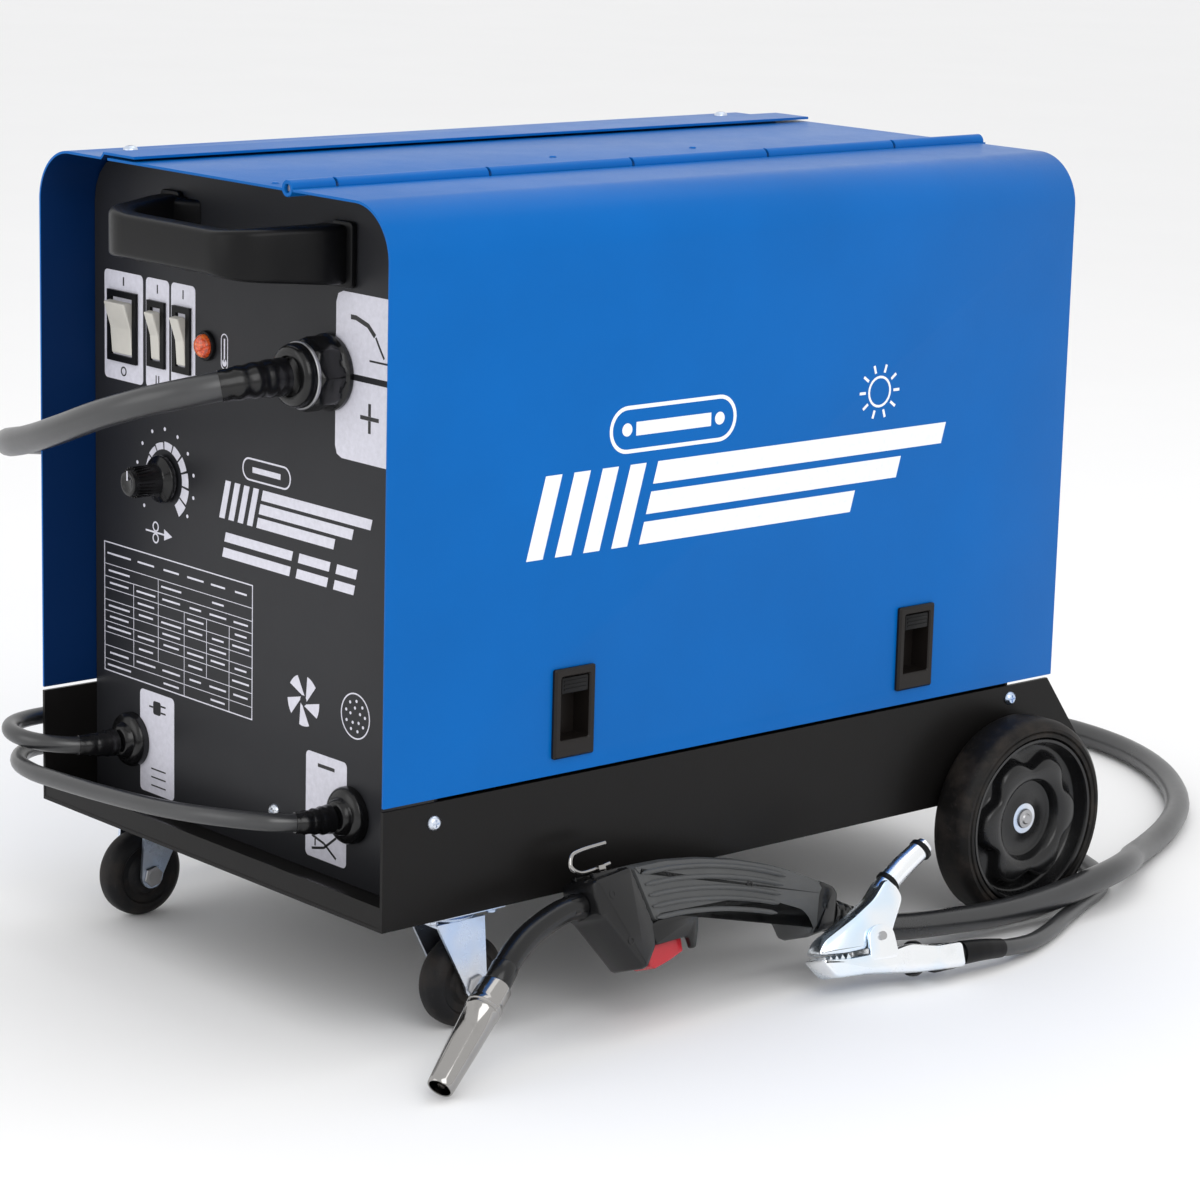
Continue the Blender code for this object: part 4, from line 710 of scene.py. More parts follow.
def rib_bar(tree, values):
    """A narrow upright rib."""
    size = tree.node("ShaderNodeCombineXYZ", {},
                     {"X": values["Width"], "Y": values["Length"], "Z": values["Height"]})
    return tree.node("GeometryNodeMeshCube", {}, {"Size": size})


def smooth_route(points, turn=4.0, reach=0.012):
    """Points along one smooth curve through a route's own points, closer together where it bends."""
    route = [Vector(p) for p in points]
    route = [2 * route[0] - route[1], *route, 2 * route[-1] - route[-2]]
    dense = []
    for a, b, c, d in zip(route, route[1:], route[2:], route[3:]):
        knots = [0.0]
        for first, second in ((a, b), (b, c), (c, d)):
            knots.append(knots[-1] + math.sqrt((second - first).length))
        k0, k1, k2, k3 = knots
        for step in range(12):
            t = k1 + (k2 - k1) * step / 12
            ab = a.lerp(b, (t - k0) / (k1 - k0))
            bc = b.lerp(c, (t - k1) / (k2 - k1))
            cd = c.lerp(d, (t - k2) / (k3 - k2))
            left = ab.lerp(bc, (t - k0) / (k2 - k0))
            dense.append(left.lerp(bc.lerp(cd, (t - k1) / (k3 - k1)), (t - k1) / (k2 - k1)))
    dense.append(route[-2])
    kept, heading = [dense[0]], dense[1] - dense[0]
    for here, after in zip(dense[1:], dense[2:]):
        bend = math.degrees(heading.angle(after - here))
        if bend > turn or (here - kept[-1]).length > reach:
            kept.append(here)
            heading = after - here
    if (kept[-1] - dense[-1]).length < 0.002:
        kept.pop()
    return [*kept, dense[-1]]


def length_of(points):
    return sum((b - a).length for a, b in zip(points, points[1:]))


def stretch_of(points, start, end):
    """The part of a route between two distances from its start."""
    kept, run = [], 0.0
    for a, b in zip(points, points[1:]):
        span = (b - a).length
        steps = max(1, int(span / 0.0015))
        for n in range(steps):
            here = run + span * n / steps
            if start <= here <= end:
                kept.append(a.lerp(b, n / steps))
        run += span
    return kept


# ---------------------------------------------------------------- camera and leads


def lead(name, route, diameter, nodes, far_end, with_pieces, lay="loose"):
    """A free lead: a curve of one open spline, with its real length and diameter."""
    curve = bpy.data.curves.new(name, "CURVE")
    curve.dimensions = "3D"
    curve.bevel_depth = diameter / 2
    curve.bevel_resolution = 7
    curve.use_fill_caps = True
    spline = curve.splines.new("POLY")
    spline.points.add(len(route) - 1)
    for point, at in zip(spline.points, route):
        point.co = (*at, 1.0)
    spline.use_smooth = True
    curve.materials.append(COATS["lead"])
    item = bpy.data.objects.new(name, curve)
    bpy.context.scene.collection.objects.link(item)
    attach(item, "machine")
    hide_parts(*nodes)
    round(length_of(route), 3)
    return item


def sleeve(name, points, start, end, coat="gloss", ribs=0, rib=0.0008, body="machine"):
    """A tapered sleeve that follows a lead, ribbed where it bends."""
    radii = []
    for n in range(len(points)):
        t = n / (len(points) - 1)
        radius = start + (end - start) * t
        if ribs and 0.12 < t < 0.9:
            radius += rib * (0.5 + 0.5 * math.cos(math.tau * t * ribs)) - rib * 0.5
        radii.append(radius)
    return Shape().tube(points, radii, 28).piece(name, [coat], body, "cable_rubber")


def in_frame(route):
    return [MACHINE @ p for p in smooth_route(route)]


def coil_route():
    """Three and a half turns, two wide and two high, and the way up to the plug."""
    outer, inner = COIL_INNER + 0.015, COIL_INNER + 0.005
    low, high = 0.0053, 0.0150
    legs = [(210.6, 0.0726, 0.0055), (168.0, 0.0665, low), (130.0, outer, low), (-105.0, outer, low),
            (-165.0, inner, low), (-420.0, inner, low), (-520.0, inner, high - 0.0002),
            (-800.0, inner, high),
            (-850.0, outer, high), (-1080.0, outer, high)]
    points = []
    for (a0, r0, z0), (a1, r1, z1) in zip(legs, legs[1:]):
        steps = max(2, int(abs(a1 - a0) / 10))
        for n in range(steps):
            t = n / steps
            ease = t * t * (3 - 2 * t)
            a = math.radians(a0 + (a1 - a0) * t)
            r, z = r0 + (r1 - r0) * ease, z0 + (z1 - z0) * ease
            points.append(COIL_AT + Vector((r * math.cos(a), r * math.sin(a), z)))
    centre = outer - COIL_EXIT
    for a, z in ((0.0, high), (0.26, 0.0184), (0.52, 0.0228), (0.79, 0.0277), (1.05, 0.0326),
                 (1.31, 0.0365)):
        points.append(COIL_AT + Vector((centre + COIL_EXIT * math.cos(a), -COIL_EXIT * math.sin(a), z)))
    rear = COIL_AT + Vector((centre, -COIL_EXIT, PLUG_Z))
    points.append(rear + Vector((0.006, 0.0002, -0.0004)))
    points.append(rear + Vector((0.0006, 0, 0)))
    return points


def mains_plug():
    """A moulded two-pin plug with grip ribs, lying on the coil."""
    rear = MACHINE @ (COIL_AT + Vector((COIL_INNER + 0.015 - COIL_EXIT, -COIL_EXIT, PLUG_Z)))
    place = along(rear, (-1, 0, 0))
    shape = Shape()
    profile = [(0, 0.001), (0.0052, 0.001), (0.0060, 0.003)]
    for n in range(5):
        z = 0.004 + n * 0.0032
        profile += [(0.0066 + n * 0.0006, z), (0.0066 + n * 0.0006, z + 0.0018),
                    (0.0060 + n * 0.0006, z + 0.0020),
                    (0.0060 + n * 0.0006, z + 0.0031)]
    profile += [(0.0120, 0.0235), (0.0150, 0.0270), (0.0170, 0.0300), (0.0180, 0.0330), (0.0183, 0.0480),
                (0.0176, 0.0505), (0.0100, 0.0518), (0, 0.0518)]
    shape.turned(profile, place, 48)
    for side in (-1, 1):
        pin = place @ Matrix.Translation((0, side * 0.0095, 0.0512))
        shape.turned([(0, 0), (0.0023, 0), (0.0023, 0.0165), (0.0019, 0.0182), (0, 0.0187)], pin, 20,
                     material=1)
        shape.box((-0.0022, side * 0.0172 - 0.0009, 0.030), (0.0022, side * 0.0172 + 0.0009, 0.046),
                  place, 0.0004)
    return shape.piece("plug_moulding", ["gloss", "chrome"], "machine", "cable_rubber", ("mains_plug",))


class WELDER_OT_view(bpy.types.Operator):
    """Stands the camera where the machine is seen from."""

    bl_idname = "welder.view"
    bl_label = "Camera"

    def execute(self, context):
        yaw, pitch, roll = math.radians(48.6745), math.radians(12.6510), math.radians(1.4705)
        forward = Vector((-math.sin(yaw) * math.cos(pitch), math.cos(yaw) * math.cos(pitch),
                          -math.sin(pitch)))
        right = Vector((math.cos(yaw), math.sin(yaw), 0.0))
        up = right.cross(forward)
        turned_right = right * math.cos(roll) + up * math.sin(roll)
        turned_up = up * math.cos(roll) - right * math.sin(roll)
        data = bpy.data.cameras.new("view")
        data.lens = 113.241
        data.sensor_width = 36.0
        data.clip_end = 50.0
        camera = bpy.data.objects.new("view", data)
        turn = Matrix((turned_right, turned_up, -forward)).transposed().to_4x4()
        place = Vector((1.66269506, -1.17207562, 0.68288704)) + DATUM
        camera.matrix_world = Matrix.Translation(place) @ turn
        context.scene.collection.objects.link(camera)
        context.scene.camera = camera
        return {"FINISHED"}


class WELDER_OT_leads(bpy.types.Operator):
    """Lays the torch, earth and mains leads, with their sleeves and the plug."""

    bl_idname = "welder.leads"
    bl_label = "Leads"

    def execute(self, context):
        torch, earth = in_frame(TORCH_ROUTE), in_frame(EARTH_ROUTE)
        mains = [MACHINE @ p for p in smooth_route([*MAINS_ROUTE, *coil_route()])]
        reach = length_of(torch)
        boot = stretch_of(torch, reach - 0.034, reach)
        torch_boot = sleeve("torch_boot", boot, 0.0088, 0.0100, "gloss", 5, 0.0010)
        torch_sleeve = sleeve("torch_lead_sleeve", stretch_of(torch, 0.0005, 0.040), 0.0106, 0.0086,
                              "gloss", 4, 0.0006)
        lead("torch_cable", torch, 0.016, ("torch_lead",), "object", [torch_sleeve, torch_boot])
        reach = length_of(earth)
        earth_boot = sleeve("earth_boot", stretch_of(earth, reach - 0.036, reach - 0.002), 0.0056, 0.0070,
                            "plastic")
        earth_sleeve = sleeve("earth_lead_sleeve", stretch_of(earth, 0.0005, 0.024), 0.0082, 0.0058,
                              "gloss", 4, 0.0007)
        lead("earth_cable", earth, 0.010, ("earth_lead",), "object", [earth_sleeve, earth_boot])
        mains_sleeve = sleeve("mains_lead_sleeve", stretch_of(mains, 0.0005, 0.026), 0.0082, 0.0058,
                              "gloss", 4, 0.0007)
        lead("mains_cable", mains, 0.010, ("mains_lead", "mains_coil"), "plug",
             [mains_sleeve, mains_plug()], "coiled")
        return {"FINISHED"}


# ---------------------------------------------------------------- shell


def sheet_outline(profile, thickness):
    """A folded sheet's section: its outer line and the line of its inner face, on its right hand."""
    inner = []
    for index, point in enumerate(profile):
        before = Vector(profile[max(0, index - 1)])
        after = Vector(profile[min(len(profile) - 1, index + 1)])
        here = Vector(point)
        first = (here - before).normalized() if index else (after - here).normalized()
        second = (after - here).normalized() if index < len(profile) - 1 else first
        normal = Vector((first.y + second.y, -first.x - second.x)).normalized()
        lean = normal.dot(Vector((first.y, -first.x)))
        inner.append(tuple(here + normal * thickness / lean))
    return [*profile, *inner[::-1]]


def knuckle_spans():
    cuts = [0.030 + 0.104 * n for n in range(5)]
    starts = [0.0, *(c + 0.0008 for c in cuts)]
    ends = [*(c - 0.0008 for c in cuts), SHELL_LENGTH + 0.008]
    return list(zip(starts, ends))


def knuckle_row(shape, odd, side):
    """Rolled knuckles with a tab each into the sheet on their side."""
    for index, (start, end) in enumerate(knuckle_spans()):
        if index % 2 != odd:
            continue
        place = along(MACHINE @ Vector((HINGE_X, start, SHELL_TOP)), (0, 1, 0))
        long = end - start
        profile = [(0.0025, 0.0003), (KNUCKLE - 0.0003, 0), (KNUCKLE, 0.0003), (KNUCKLE, long - 0.0003),
                   (KNUCKLE - 0.0003, long), (0.0025, long - 0.0003)]
        shape.turned(profile, place, 28, closed=True)
        tab = sorted((HINGE_X + side * 0.0027, HINGE_X + side * (KNUCKLE + 0.0015)))
        shape.box((tab[0], start + 0.0001, SHELL_TOP - SHEET + 0.00005),
                  (tab[1], end - 0.0001, SHELL_TOP - 0.00005),
                  MACHINE)


def paint_inner_shade(mesh):
    """Marks a folded sheet's inner faces, those that look towards the middle of the machine, for the much
    darker blue that is painted shade inside the shell.
    """
    middle = MACHINE @ Vector((0.0, 0.0, 0.25))
    for face in mesh.polygons:
        towards = middle - face.center
        towards.y = 0.0
        if abs(face.normal.y) < 0.5 and face.normal.dot(towards.normalized()) > 0.35:
            face.material_index = 1


class WELDER_OT_shell(bpy.types.Operator):
    """Folds the left cover, the roof and the latched door, with their hinge and rims."""

    bl_idname = "welder.shell"
    bl_label = "Shell"

    def execute(self, context):
        lengthways = facing(0, 0, 0, "front")
        cover = Shape()
        corner = arc((-SIDE + CORNER, SHELL_TOP - CORNER), CORNER, 180, 90, 24)
        profile = [(-SIDE, SHELL_BOTTOM), *corner, (-0.100, SHELL_TOP), (-0.0985, SHELL_TOP + 0.0012),
                   (-0.0970, SHELL_TOP + 0.003), (-0.067, SHELL_TOP + 0.003)]
        cover.prism(sheet_outline(profile, SHEET), -SHELL_LENGTH, 0.0, lengthways, 0.0002)
        sheet = cover.piece("cover_sheet", ["shell", "shell_inside"], "machine", "blue_powder_coat",
                            ("left_cover",))
        paint_inner_shade(sheet.data)
        roof = Shape()
        roof.box((-0.093, 0.0, SHELL_TOP - SHEET), (HINGE_X - KNUCKLE - 0.0005, SHELL_LENGTH, SHELL_TOP),
                 MACHINE, 0.0002)
        knuckle_row(roof, 0, -1)
        roof.piece("roof_sheet", ["shell"], "machine", "blue_powder_coat", ("roof_panel",))
        self.door(lengthways)
        wear("tray", "chassis_tray", "axle_bracket")
        wear("panel", "front_panel", "rear_panel", "divider")
        wear("steel", "hinge_pin")
        self.studs()
        return {"FINISHED"}

    @staticmethod
    def door(lengthways):
        door = Shape()
        corner = arc((SIDE - CORNER, SHELL_TOP - CORNER), CORNER, 90, 0, 24)
        profile = [(HINGE_X + KNUCKLE + 0.0005, SHELL_TOP), *corner, (SIDE, SHELL_BOTTOM)]
        door.prism(sheet_outline(profile, SHEET), -SHELL_LENGTH, 0.0, lengthways, 0.0002)
        bmesh.ops.recalc_face_normals(door.mesh, faces=door.mesh.faces)
        blank, holes = bpy.data.meshes.new("door_blank"), bpy.data.meshes.new("door_holes")
        door.mesh.to_mesh(blank)
        door.mesh.free()
        cut = Shape()
        for y in (0.129, 0.393):
            cut.box((SIDE - 0.02, y - 0.0125, 0.152), (SIDE + 0.02, y + 0.0125, 0.198), MACHINE)
        bmesh.ops.recalc_face_normals(cut.mesh, faces=cut.mesh.faces)
        cut.mesh.to_mesh(holes)
        cut.mesh.free()
        pair = [bpy.data.objects.new(m.name, m) for m in (blank, holes)]
        for item in pair:
            bpy.context.scene.collection.objects.link(item)
        step = pair[0].modifiers.new("holes", "BOOLEAN")
        step.operation = "DIFFERENCE"
        step.solver = "EXACT"
        step.object = pair[1]
        pierced = evaluated_mesh(pair[0])
        for item in pair:
            bpy.data.objects.remove(item, do_unlink=True)
        whole = Shape()
        knuckle_row(whole, 1, 1)
        bmesh.ops.recalc_face_normals(whole.mesh, faces=whole.mesh.faces)
        whole.mesh.from_mesh(pierced)
        mesh = bpy.data.meshes.new("door_sheet")
        whole.mesh.to_mesh(mesh)
        whole.mesh.free()
        sheet = settle("door_sheet", mesh, ["shell", "shell_inside"], "door",
                       ("side_door",))
        paint_inner_shade(sheet.data)

    @staticmethod
    def studs():
        sizes = bpy.context.scene.welder_sizes
        heads = repeat_tree("pan_heads", ("Radius", "Height"), pan_head)
        domes = repeat_tree("rivet_heads", ("Radius", "Height"), low_dome)
        out = Vector((1, 0, 0))
        screws = [(MACHINE @ Vector((sign * (SIDE + 0.0001), y, z)), out * sign)
                  for sign in (-1, 1) for y, z in ((0.034, 0.128), (0.479, 0.131))]
        screws += [(MACHINE @ Vector((-0.122, y, SHELL_TOP + 0.0001)), Vector((0, 0, 1))) for y in (0.035,
                                                                                                    0.490)]
        screws += [(MACHINE @ Vector((0.018, PANEL_Y - 0.0001, 0.101)), Vector((0, -1, 0)))]
        screws += [(MACHINE @ Vector((x, 0.4792, z)), Vector((0, 1, 0))) for x in (-0.140,
                                                                                   0.140) for z in (0.160,
                                                                                                    0.400)]
        repeated("pan_screws", heads, {"Radius": sizes.screw_radius, "Height": 0.0022}, screws, "zinc",
                 "machine")
        rivets = [(MACHINE @ Vector((x, y, SHELL_TOP + 0.0001)), Vector((0, 0, 1)))
                  for x, y in ((0.021, 0.227), (0.021, 0.335), (0.053, 0.008), (0.0625, 0.012))]
        repeated("roof_rivets", domes, {"Radius": sizes.rivet_radius, "Height": 0.0008}, rivets, "shell",
                 "machine")


class WELDER_OT_latches(bpy.types.Operator):
    """Moulds the two latch bezels and their sliders on the door."""

    bl_idname = "welder.latches"
    bl_label = "Latches"

    def execute(self, context):
        low, high = SHELL_BOTTOM + 0.009, SHELL_BOTTOM + 0.059
        for name, y in (("front", 0.129), ("rear", 0.393)):
            place = facing(SIDE, y, 0, "right")
            bezel = Shape()
            outer = rectangle(-0.0145, low, 0.0145, high, 0.0012, 3)
            inner = rectangle(-0.0100, low + 0.010, 0.0100, high - 0.0045, 0.0010, 3)
            steps = [(outer, 0.0003), (outer, 0.0018), (offset(outer, 0.0012), 0.0030),
                     (offset(inner, -0.0008), 0.0030),
                     (inner, 0.0022), (inner, -0.0105), (offset(inner, -0.0015), -0.0120),
                     (offset(outer, 0.0025), -0.0120), (offset(outer, 0.0025), 0.0003)]
            bezel.skin([[place @ Vector((x, z, out)) for x, z in ring] for ring, out in steps], wrap=True)
            back = [(-0.0105, low + 0.0095), (0.0105, low + 0.0095), (0.0105, high - 0.0040),
                    (-0.0105, high - 0.0040)]
            bezel.prism(back, -0.0120, -0.0106, place)
            bezel.piece(f"latch_bezel_{name}", ["dark_red"], "door", "black_plastic",
                        (f"latch_housing_{name}",))
            slider = Shape()
            top, half = high - 0.0050, 0.0095
            slider.prism(rectangle(-half, top - 0.009, half, top), -0.0095, 0.0022, place, 0.0008)
            for n in range(3):
                z = top - 0.0022 - n * 0.0022
                slider.prism(rectangle(-half + 0.0015, z - 0.0005, half - 0.0015, z + 0.0005), 0.0018,
                             0.0026, place,
                             0.0002)
            slider.piece(f"latch_thumb_{name}", ["plastic"], f"{name}_latch", "black_plastic",
                         (f"latch_slider_{name}",))
        return {"FINISHED"}


# ---------------------------------------------------------------- printed marks


def rays(centre, inner, outer, count, width, start=0.0, sweep=360.0):
    """Short radial bars, as outlines."""
    bars = []
    for n in range(count):
        a = math.radians(start + sweep * n / count)
        way, side = Vector((math.cos(a), math.sin(a))), Vector((-math.sin(a), math.cos(a))) * width / 2
        mid = Vector(centre)
        bars.append([tuple(mid + way * inner - side), tuple(mid + way * outer - side),
                     tuple(mid + way * outer + side), tuple(mid + way * inner + side)])
    return bars


def slanted(x0, x1, z0, z1, lean):
    return [(x0, z0), (x1, z0), (x1 + lean, z1), (x0 + lean, z1)]


def speed_graphic(shape, place, low, high, left, right, depth, gap):
    """A plain decoration: leaning bars that run on into three stripes, under a rounded badge."""
    tall, long = high - low, right - left
    lean = tall * 0.28
    bar = long * 0.036
    for n in range(4):
        x = left + n * bar * 1.75
        shape.prism(slanted(x, x + bar, low, high, lean), *depth, place)
    start = left + 4 * bar * 1.75
    stripe = (tall - 2 * gap) / 3
    for n in range(3):
        z = low + n * (stripe + gap)
        foot, head = lean * (z - low) / tall, lean * stripe / tall
        shape.prism(slanted(start + foot, right - lean - long * 0.10 * (2 - n) + foot, z, z + stripe,
                            head),
                    *depth, place)


class WELDER_OT_marks(bpy.types.Operator):
    """Prints the labels, scales and plain decorations of the panel and the door."""

    bl_idname = "welder.marks"
    bl_label = "Printed marks"

    def execute(self, context):
        thick = context.scene.welder_sizes.print_depth
        self.front(thick)
        self.door(thick)
        return {"FINISHED"}

    @staticmethod
    def door(thick):
        face, depth = facing(SIDE, 0, 0, "right"), (0.00003, 0.00003 + thick)
        shape = Shape()
        speed_graphic(shape, face, 0.262, 0.307, 0.094, 0.412, depth, 0.0042)
        shape.stroke(rectangle(0.152, 0.3145, 0.243, 0.3385, 0.0118, 8), 0.0022, depth, face, True)
        shape.stroke([(0.170, 0.3265), (0.225, 0.3265)], 0.0075, depth, face)
        for x in (0.1635, 0.2315):
            shape.prism(arc((x, 0.3265), 0.0036, 0, 345, 23), *depth, face)
        centre = (0.356, 0.330)
        shape.stroke(arc(centre, 0.0085, 0, 345, 23), 0.0014, depth, face, True)
        for bar in rays(centre, 0.0112, 0.0160, 10, 0.0016):
            shape.prism(bar, *depth, face)
        shape.piece("door_print", ["door_marks"], "door", "blue_powder_coat")

    def front(self, thick):
        face = facing(0, PANEL_Y, 0, "front")
        one, two = (0.00003, 0.00003 + thick), (0.00005 + thick, 0.00005 + 2 * thick)
        light, dark = Shape(), Shape()
        for x0, z0, x1, z1, radius in ((-0.150, 0.3235, -0.111, 0.3865, 0.003),
                                       (-0.108, 0.3235, -0.085, 0.3865, 0.003),
                                       (-0.083, 0.3235, -0.0595, 0.3865, 0.003),
                                       (-0.1145, 0.084, -0.080, 0.145, 0.003),
                                       (0.047, 0.083, 0.084, 0.143, 0.003)):
            light.prism(rectangle(x0, z0, x1, z1, radius), *one, face)
        light.prism([(0.0705, 0.3543), (0.0705, 0.3170), (0.0722, 0.3125), (0.0765, 0.3108),
                     (0.1395, 0.3108),
                     (0.1395, 0.3543)], *one, face)
        light.prism([(0.0705, 0.3577), (0.1395, 0.3577), (0.1395, 0.4010), (0.0765, 0.4010),
                     (0.0722, 0.3992),
                     (0.0705, 0.3945)], *one, face)
        self.symbols(dark, two, face)
        self.scale(light, one, face)
        self.table(light, one, face)
        badge_start, badge_end = -0.0135, 0.0305
        light.stroke(rectangle(badge_start, 0.2855, badge_end, 0.2975, 0.0058, 6), 0.0010, one, face,
                     True)
        light.stroke([(badge_start + 0.009, 0.2915), (badge_end - 0.009, 0.2915)], 0.0032, one, face)
        speed_graphic(light, face, 0.2595, 0.2815, -0.036, 0.104, one, 0.0021)
        for n, (x0, x1) in enumerate(((-0.033, 0.030), (0.036, 0.064), (0.070, 0.088))):
            light.prism(slanted(x0, x1, 0.2375, 0.2430, 0.0015), *one, face)
            light.prism(slanted(x0 + 0.002, x1 + 0.002, 0.2465, 0.2520, 0.0015), *one, face)
        light.piece("panel_print", ["marks"], "machine", "grey_panel_paint")
        dark.piece("panel_symbols", ["dark_marks"], "machine", "grey_panel_paint")
        rim = facing(0, PANEL_Y, 0, "front")
        dots = repeat_tree("scale_dots", ("Radius", "Height"), low_dome)
        around = [(rim @ Vector((-0.089 + 0.0285 * math.cos(a), 0.273 + 0.0285 * math.sin(a), 0.00003)),
                   (0, -1, 0))
                  for a in (math.radians(222 - 262 * n / 10) for n in range(11))]
        repeated("scale_marks", dots, {"Radius": 0.0011, "Height": thick}, around, "marks", "machine")

    @staticmethod
    def symbols(dark, depth, face):
        """Signs on the pale labels: on and off, one and two, polarity, torch, plug and clamp."""
        dark.stroke([(-0.1305, 0.3785), (-0.1305, 0.3835)], 0.0012, depth, face)
        dark.stroke(arc((-0.1305, 0.3290), 0.0024, 0, 340, 17), 0.0009, depth, face, True)
        for x in (-0.0965, -0.0713):
            dark.stroke([(x, 0.3782), (x, 0.3832)], 0.0010, depth, face)
            for shift in (-0.0013, 0.0013):
                dark.stroke([(x + shift, 0.3262), (x + shift, 0.3312)], 0.0009, depth, face)
        dark.stroke([(0.0925, 0.3355), (0.1085, 0.3355)], 0.0022, depth, face)
        dark.stroke([(0.1005, 0.3275), (0.1005, 0.3343)], 0.0022, depth, face)
        dark.stroke([(0.1005, 0.3367), (0.1005, 0.3435)], 0.0022, depth, face)
        dark.stroke([(0.0835, 0.3880), (0.0880, 0.3880), (0.0985, 0.3850), (0.1045, 0.3800)], 0.0026,
                    depth, face)
        dark.stroke([(0.1052, 0.3795), (0.1085, 0.3745), (0.1125, 0.3690)], 0.0013, depth, face)
        dark.stroke([(0.1000, 0.3665), (0.1160, 0.3665)], 0.0010, depth, face)
        dark.stroke([(0.0580, 0.1365), (0.0730, 0.1365)], 0.0020, depth, face)
        dark.stroke([(0.0530, 0.0880), (0.0640, 0.0905), (0.0750, 0.0985)], 0.0014, depth, face)
        dark.stroke([(0.0530, 0.0955), (0.0640, 0.0930), (0.0750, 0.0865)], 0.0014, depth, face)
        dark.stroke([(0.0560, 0.0900), (0.0560, 0.0940)], 0.0010, depth, face)
        dark.prism(rectangle(-0.1010, 0.1320, -0.0935, 0.1400, 0.0015), *depth, face)
        for z in (0.1340, 0.1380):
            dark.stroke([(-0.0932, z), (-0.0885, z)], 0.0010, depth, face)
        dark.stroke([(-0.1013, 0.1360), (-0.1050, 0.1360)], 0.0010, depth, face)
        for z in (0.0990, 0.0940, 0.0890):
            dark.stroke([(-0.1030, z), (-0.0885, z)], 0.0008, depth, face)

    @staticmethod
    def scale(light, depth, face):
        """The knob's growing wedges and its tick marks, the wire-feed sign and the other plain signs."""
        cx, cz = -0.089, 0.273
        for n in range(11):
            a0 = 218 - 25.2 * n
            a1 = a0 - 21.5
            grow = 0.0016 + 0.0058 * n / 10
            band = [*arc((cx, cz), 0.0168, a0, a1, 5), *arc((cx, cz), 0.0168 + grow, a1, a0, 5)]
            light.prism(band, *depth, face)
        light.stroke([(-0.1085, 0.2400), (-0.0900, 0.2400)], 0.0010, depth, face)
        light.prism([(-0.0900, 0.2367), (-0.0820, 0.2400), (-0.0900, 0.2433)], *depth, face)
        for z in (0.2434, 0.2366):
            light.stroke(arc((-0.0985, z), 0.0026, 0, 340, 17), 0.0009, depth, face, True)
        light.stroke([(-0.0315, 0.3480), (-0.0315, 0.3610)], 0.0012, depth, face)
        light.prism(arc((-0.0315, 0.3475), 0.0021, 0, 340, 17), *depth, face)
        light.stroke(rectangle(-0.0345, 0.3440, -0.0285, 0.3635, 0.0029, 4), 0.0006, depth, face, True)
        for n in range(5):
            a = 90 + 72 * n
            blade = [*arc((0.044, 0.170), 0.0030, a - 20, a + 20, 3),
                     *arc((0.044, 0.170), 0.0145, a + 58, a + 22, 4)]
            light.prism(blade, *depth, face)
        light.stroke(arc((0.091, 0.171), 0.0125, 0, 350, 35), 0.0008, depth, face, True)
        for ring, count in ((0.0085, 9), (0.0045, 5)):
            for n in range(count):
                a = math.tau * n / count + ring * 90
                dot = (0.091 + ring * math.cos(a), 0.171 + ring * math.sin(a))
                light.prism(arc(dot, 0.0009, 0, 330, 11), *depth, face)

    @staticmethod
    def table(light, depth, face):
        """A ruled plate of ratings: only its lines, and short bars where its entries stand."""
        x0, x1, z0, z1 = -0.151, -0.004, 0.149, 0.226
        light.stroke(rectangle(x0, z0, x1, z1), 0.0007, depth, face, True)
        rows = [0.2130, 0.2055, 0.1985, 0.1915, 0.1850, 0.1785, 0.1720, 0.1640, 0.1560]
        for z in rows:
            light.stroke([(x0 + 0.0005, z), (x1 - 0.0005, z)], 0.0004, depth, face)
        columns = [(-0.121, 0.2055, 0.1560), (-0.096, 0.2130, 0.1640), (-0.070, 0.1985, 0.1490),
                   (-0.048, 0.1985, 0.1640), (-0.026, 0.1985, 0.1490)]
        for x, top, foot in columns:
            for high, low in zip([*rows], [*rows[1:], z0]):
                if high <= top + 0.0001 and low >= foot - 0.0001:
                    light.stroke([(x, low + 0.0003), (x, high - 0.0003)], 0.0004, depth, face)
        edges = [x0, *(c[0] for c in columns), x1]
        for n, (high, low) in enumerate(zip([z1, *rows], [*rows, z0])):
            for m, (left, right) in enumerate(zip(edges, edges[1:])):
                if (n * 3 + m * 2) % 4 == 1:
                    continue
                inset = 0.003 + 0.0012 * ((n + m) % 3)
                middle = (high + low) / 2
                light.stroke([(left + inset, middle), (right - inset, middle)], 0.0011, depth, face)


# ---------------------------------------------------------------- controls


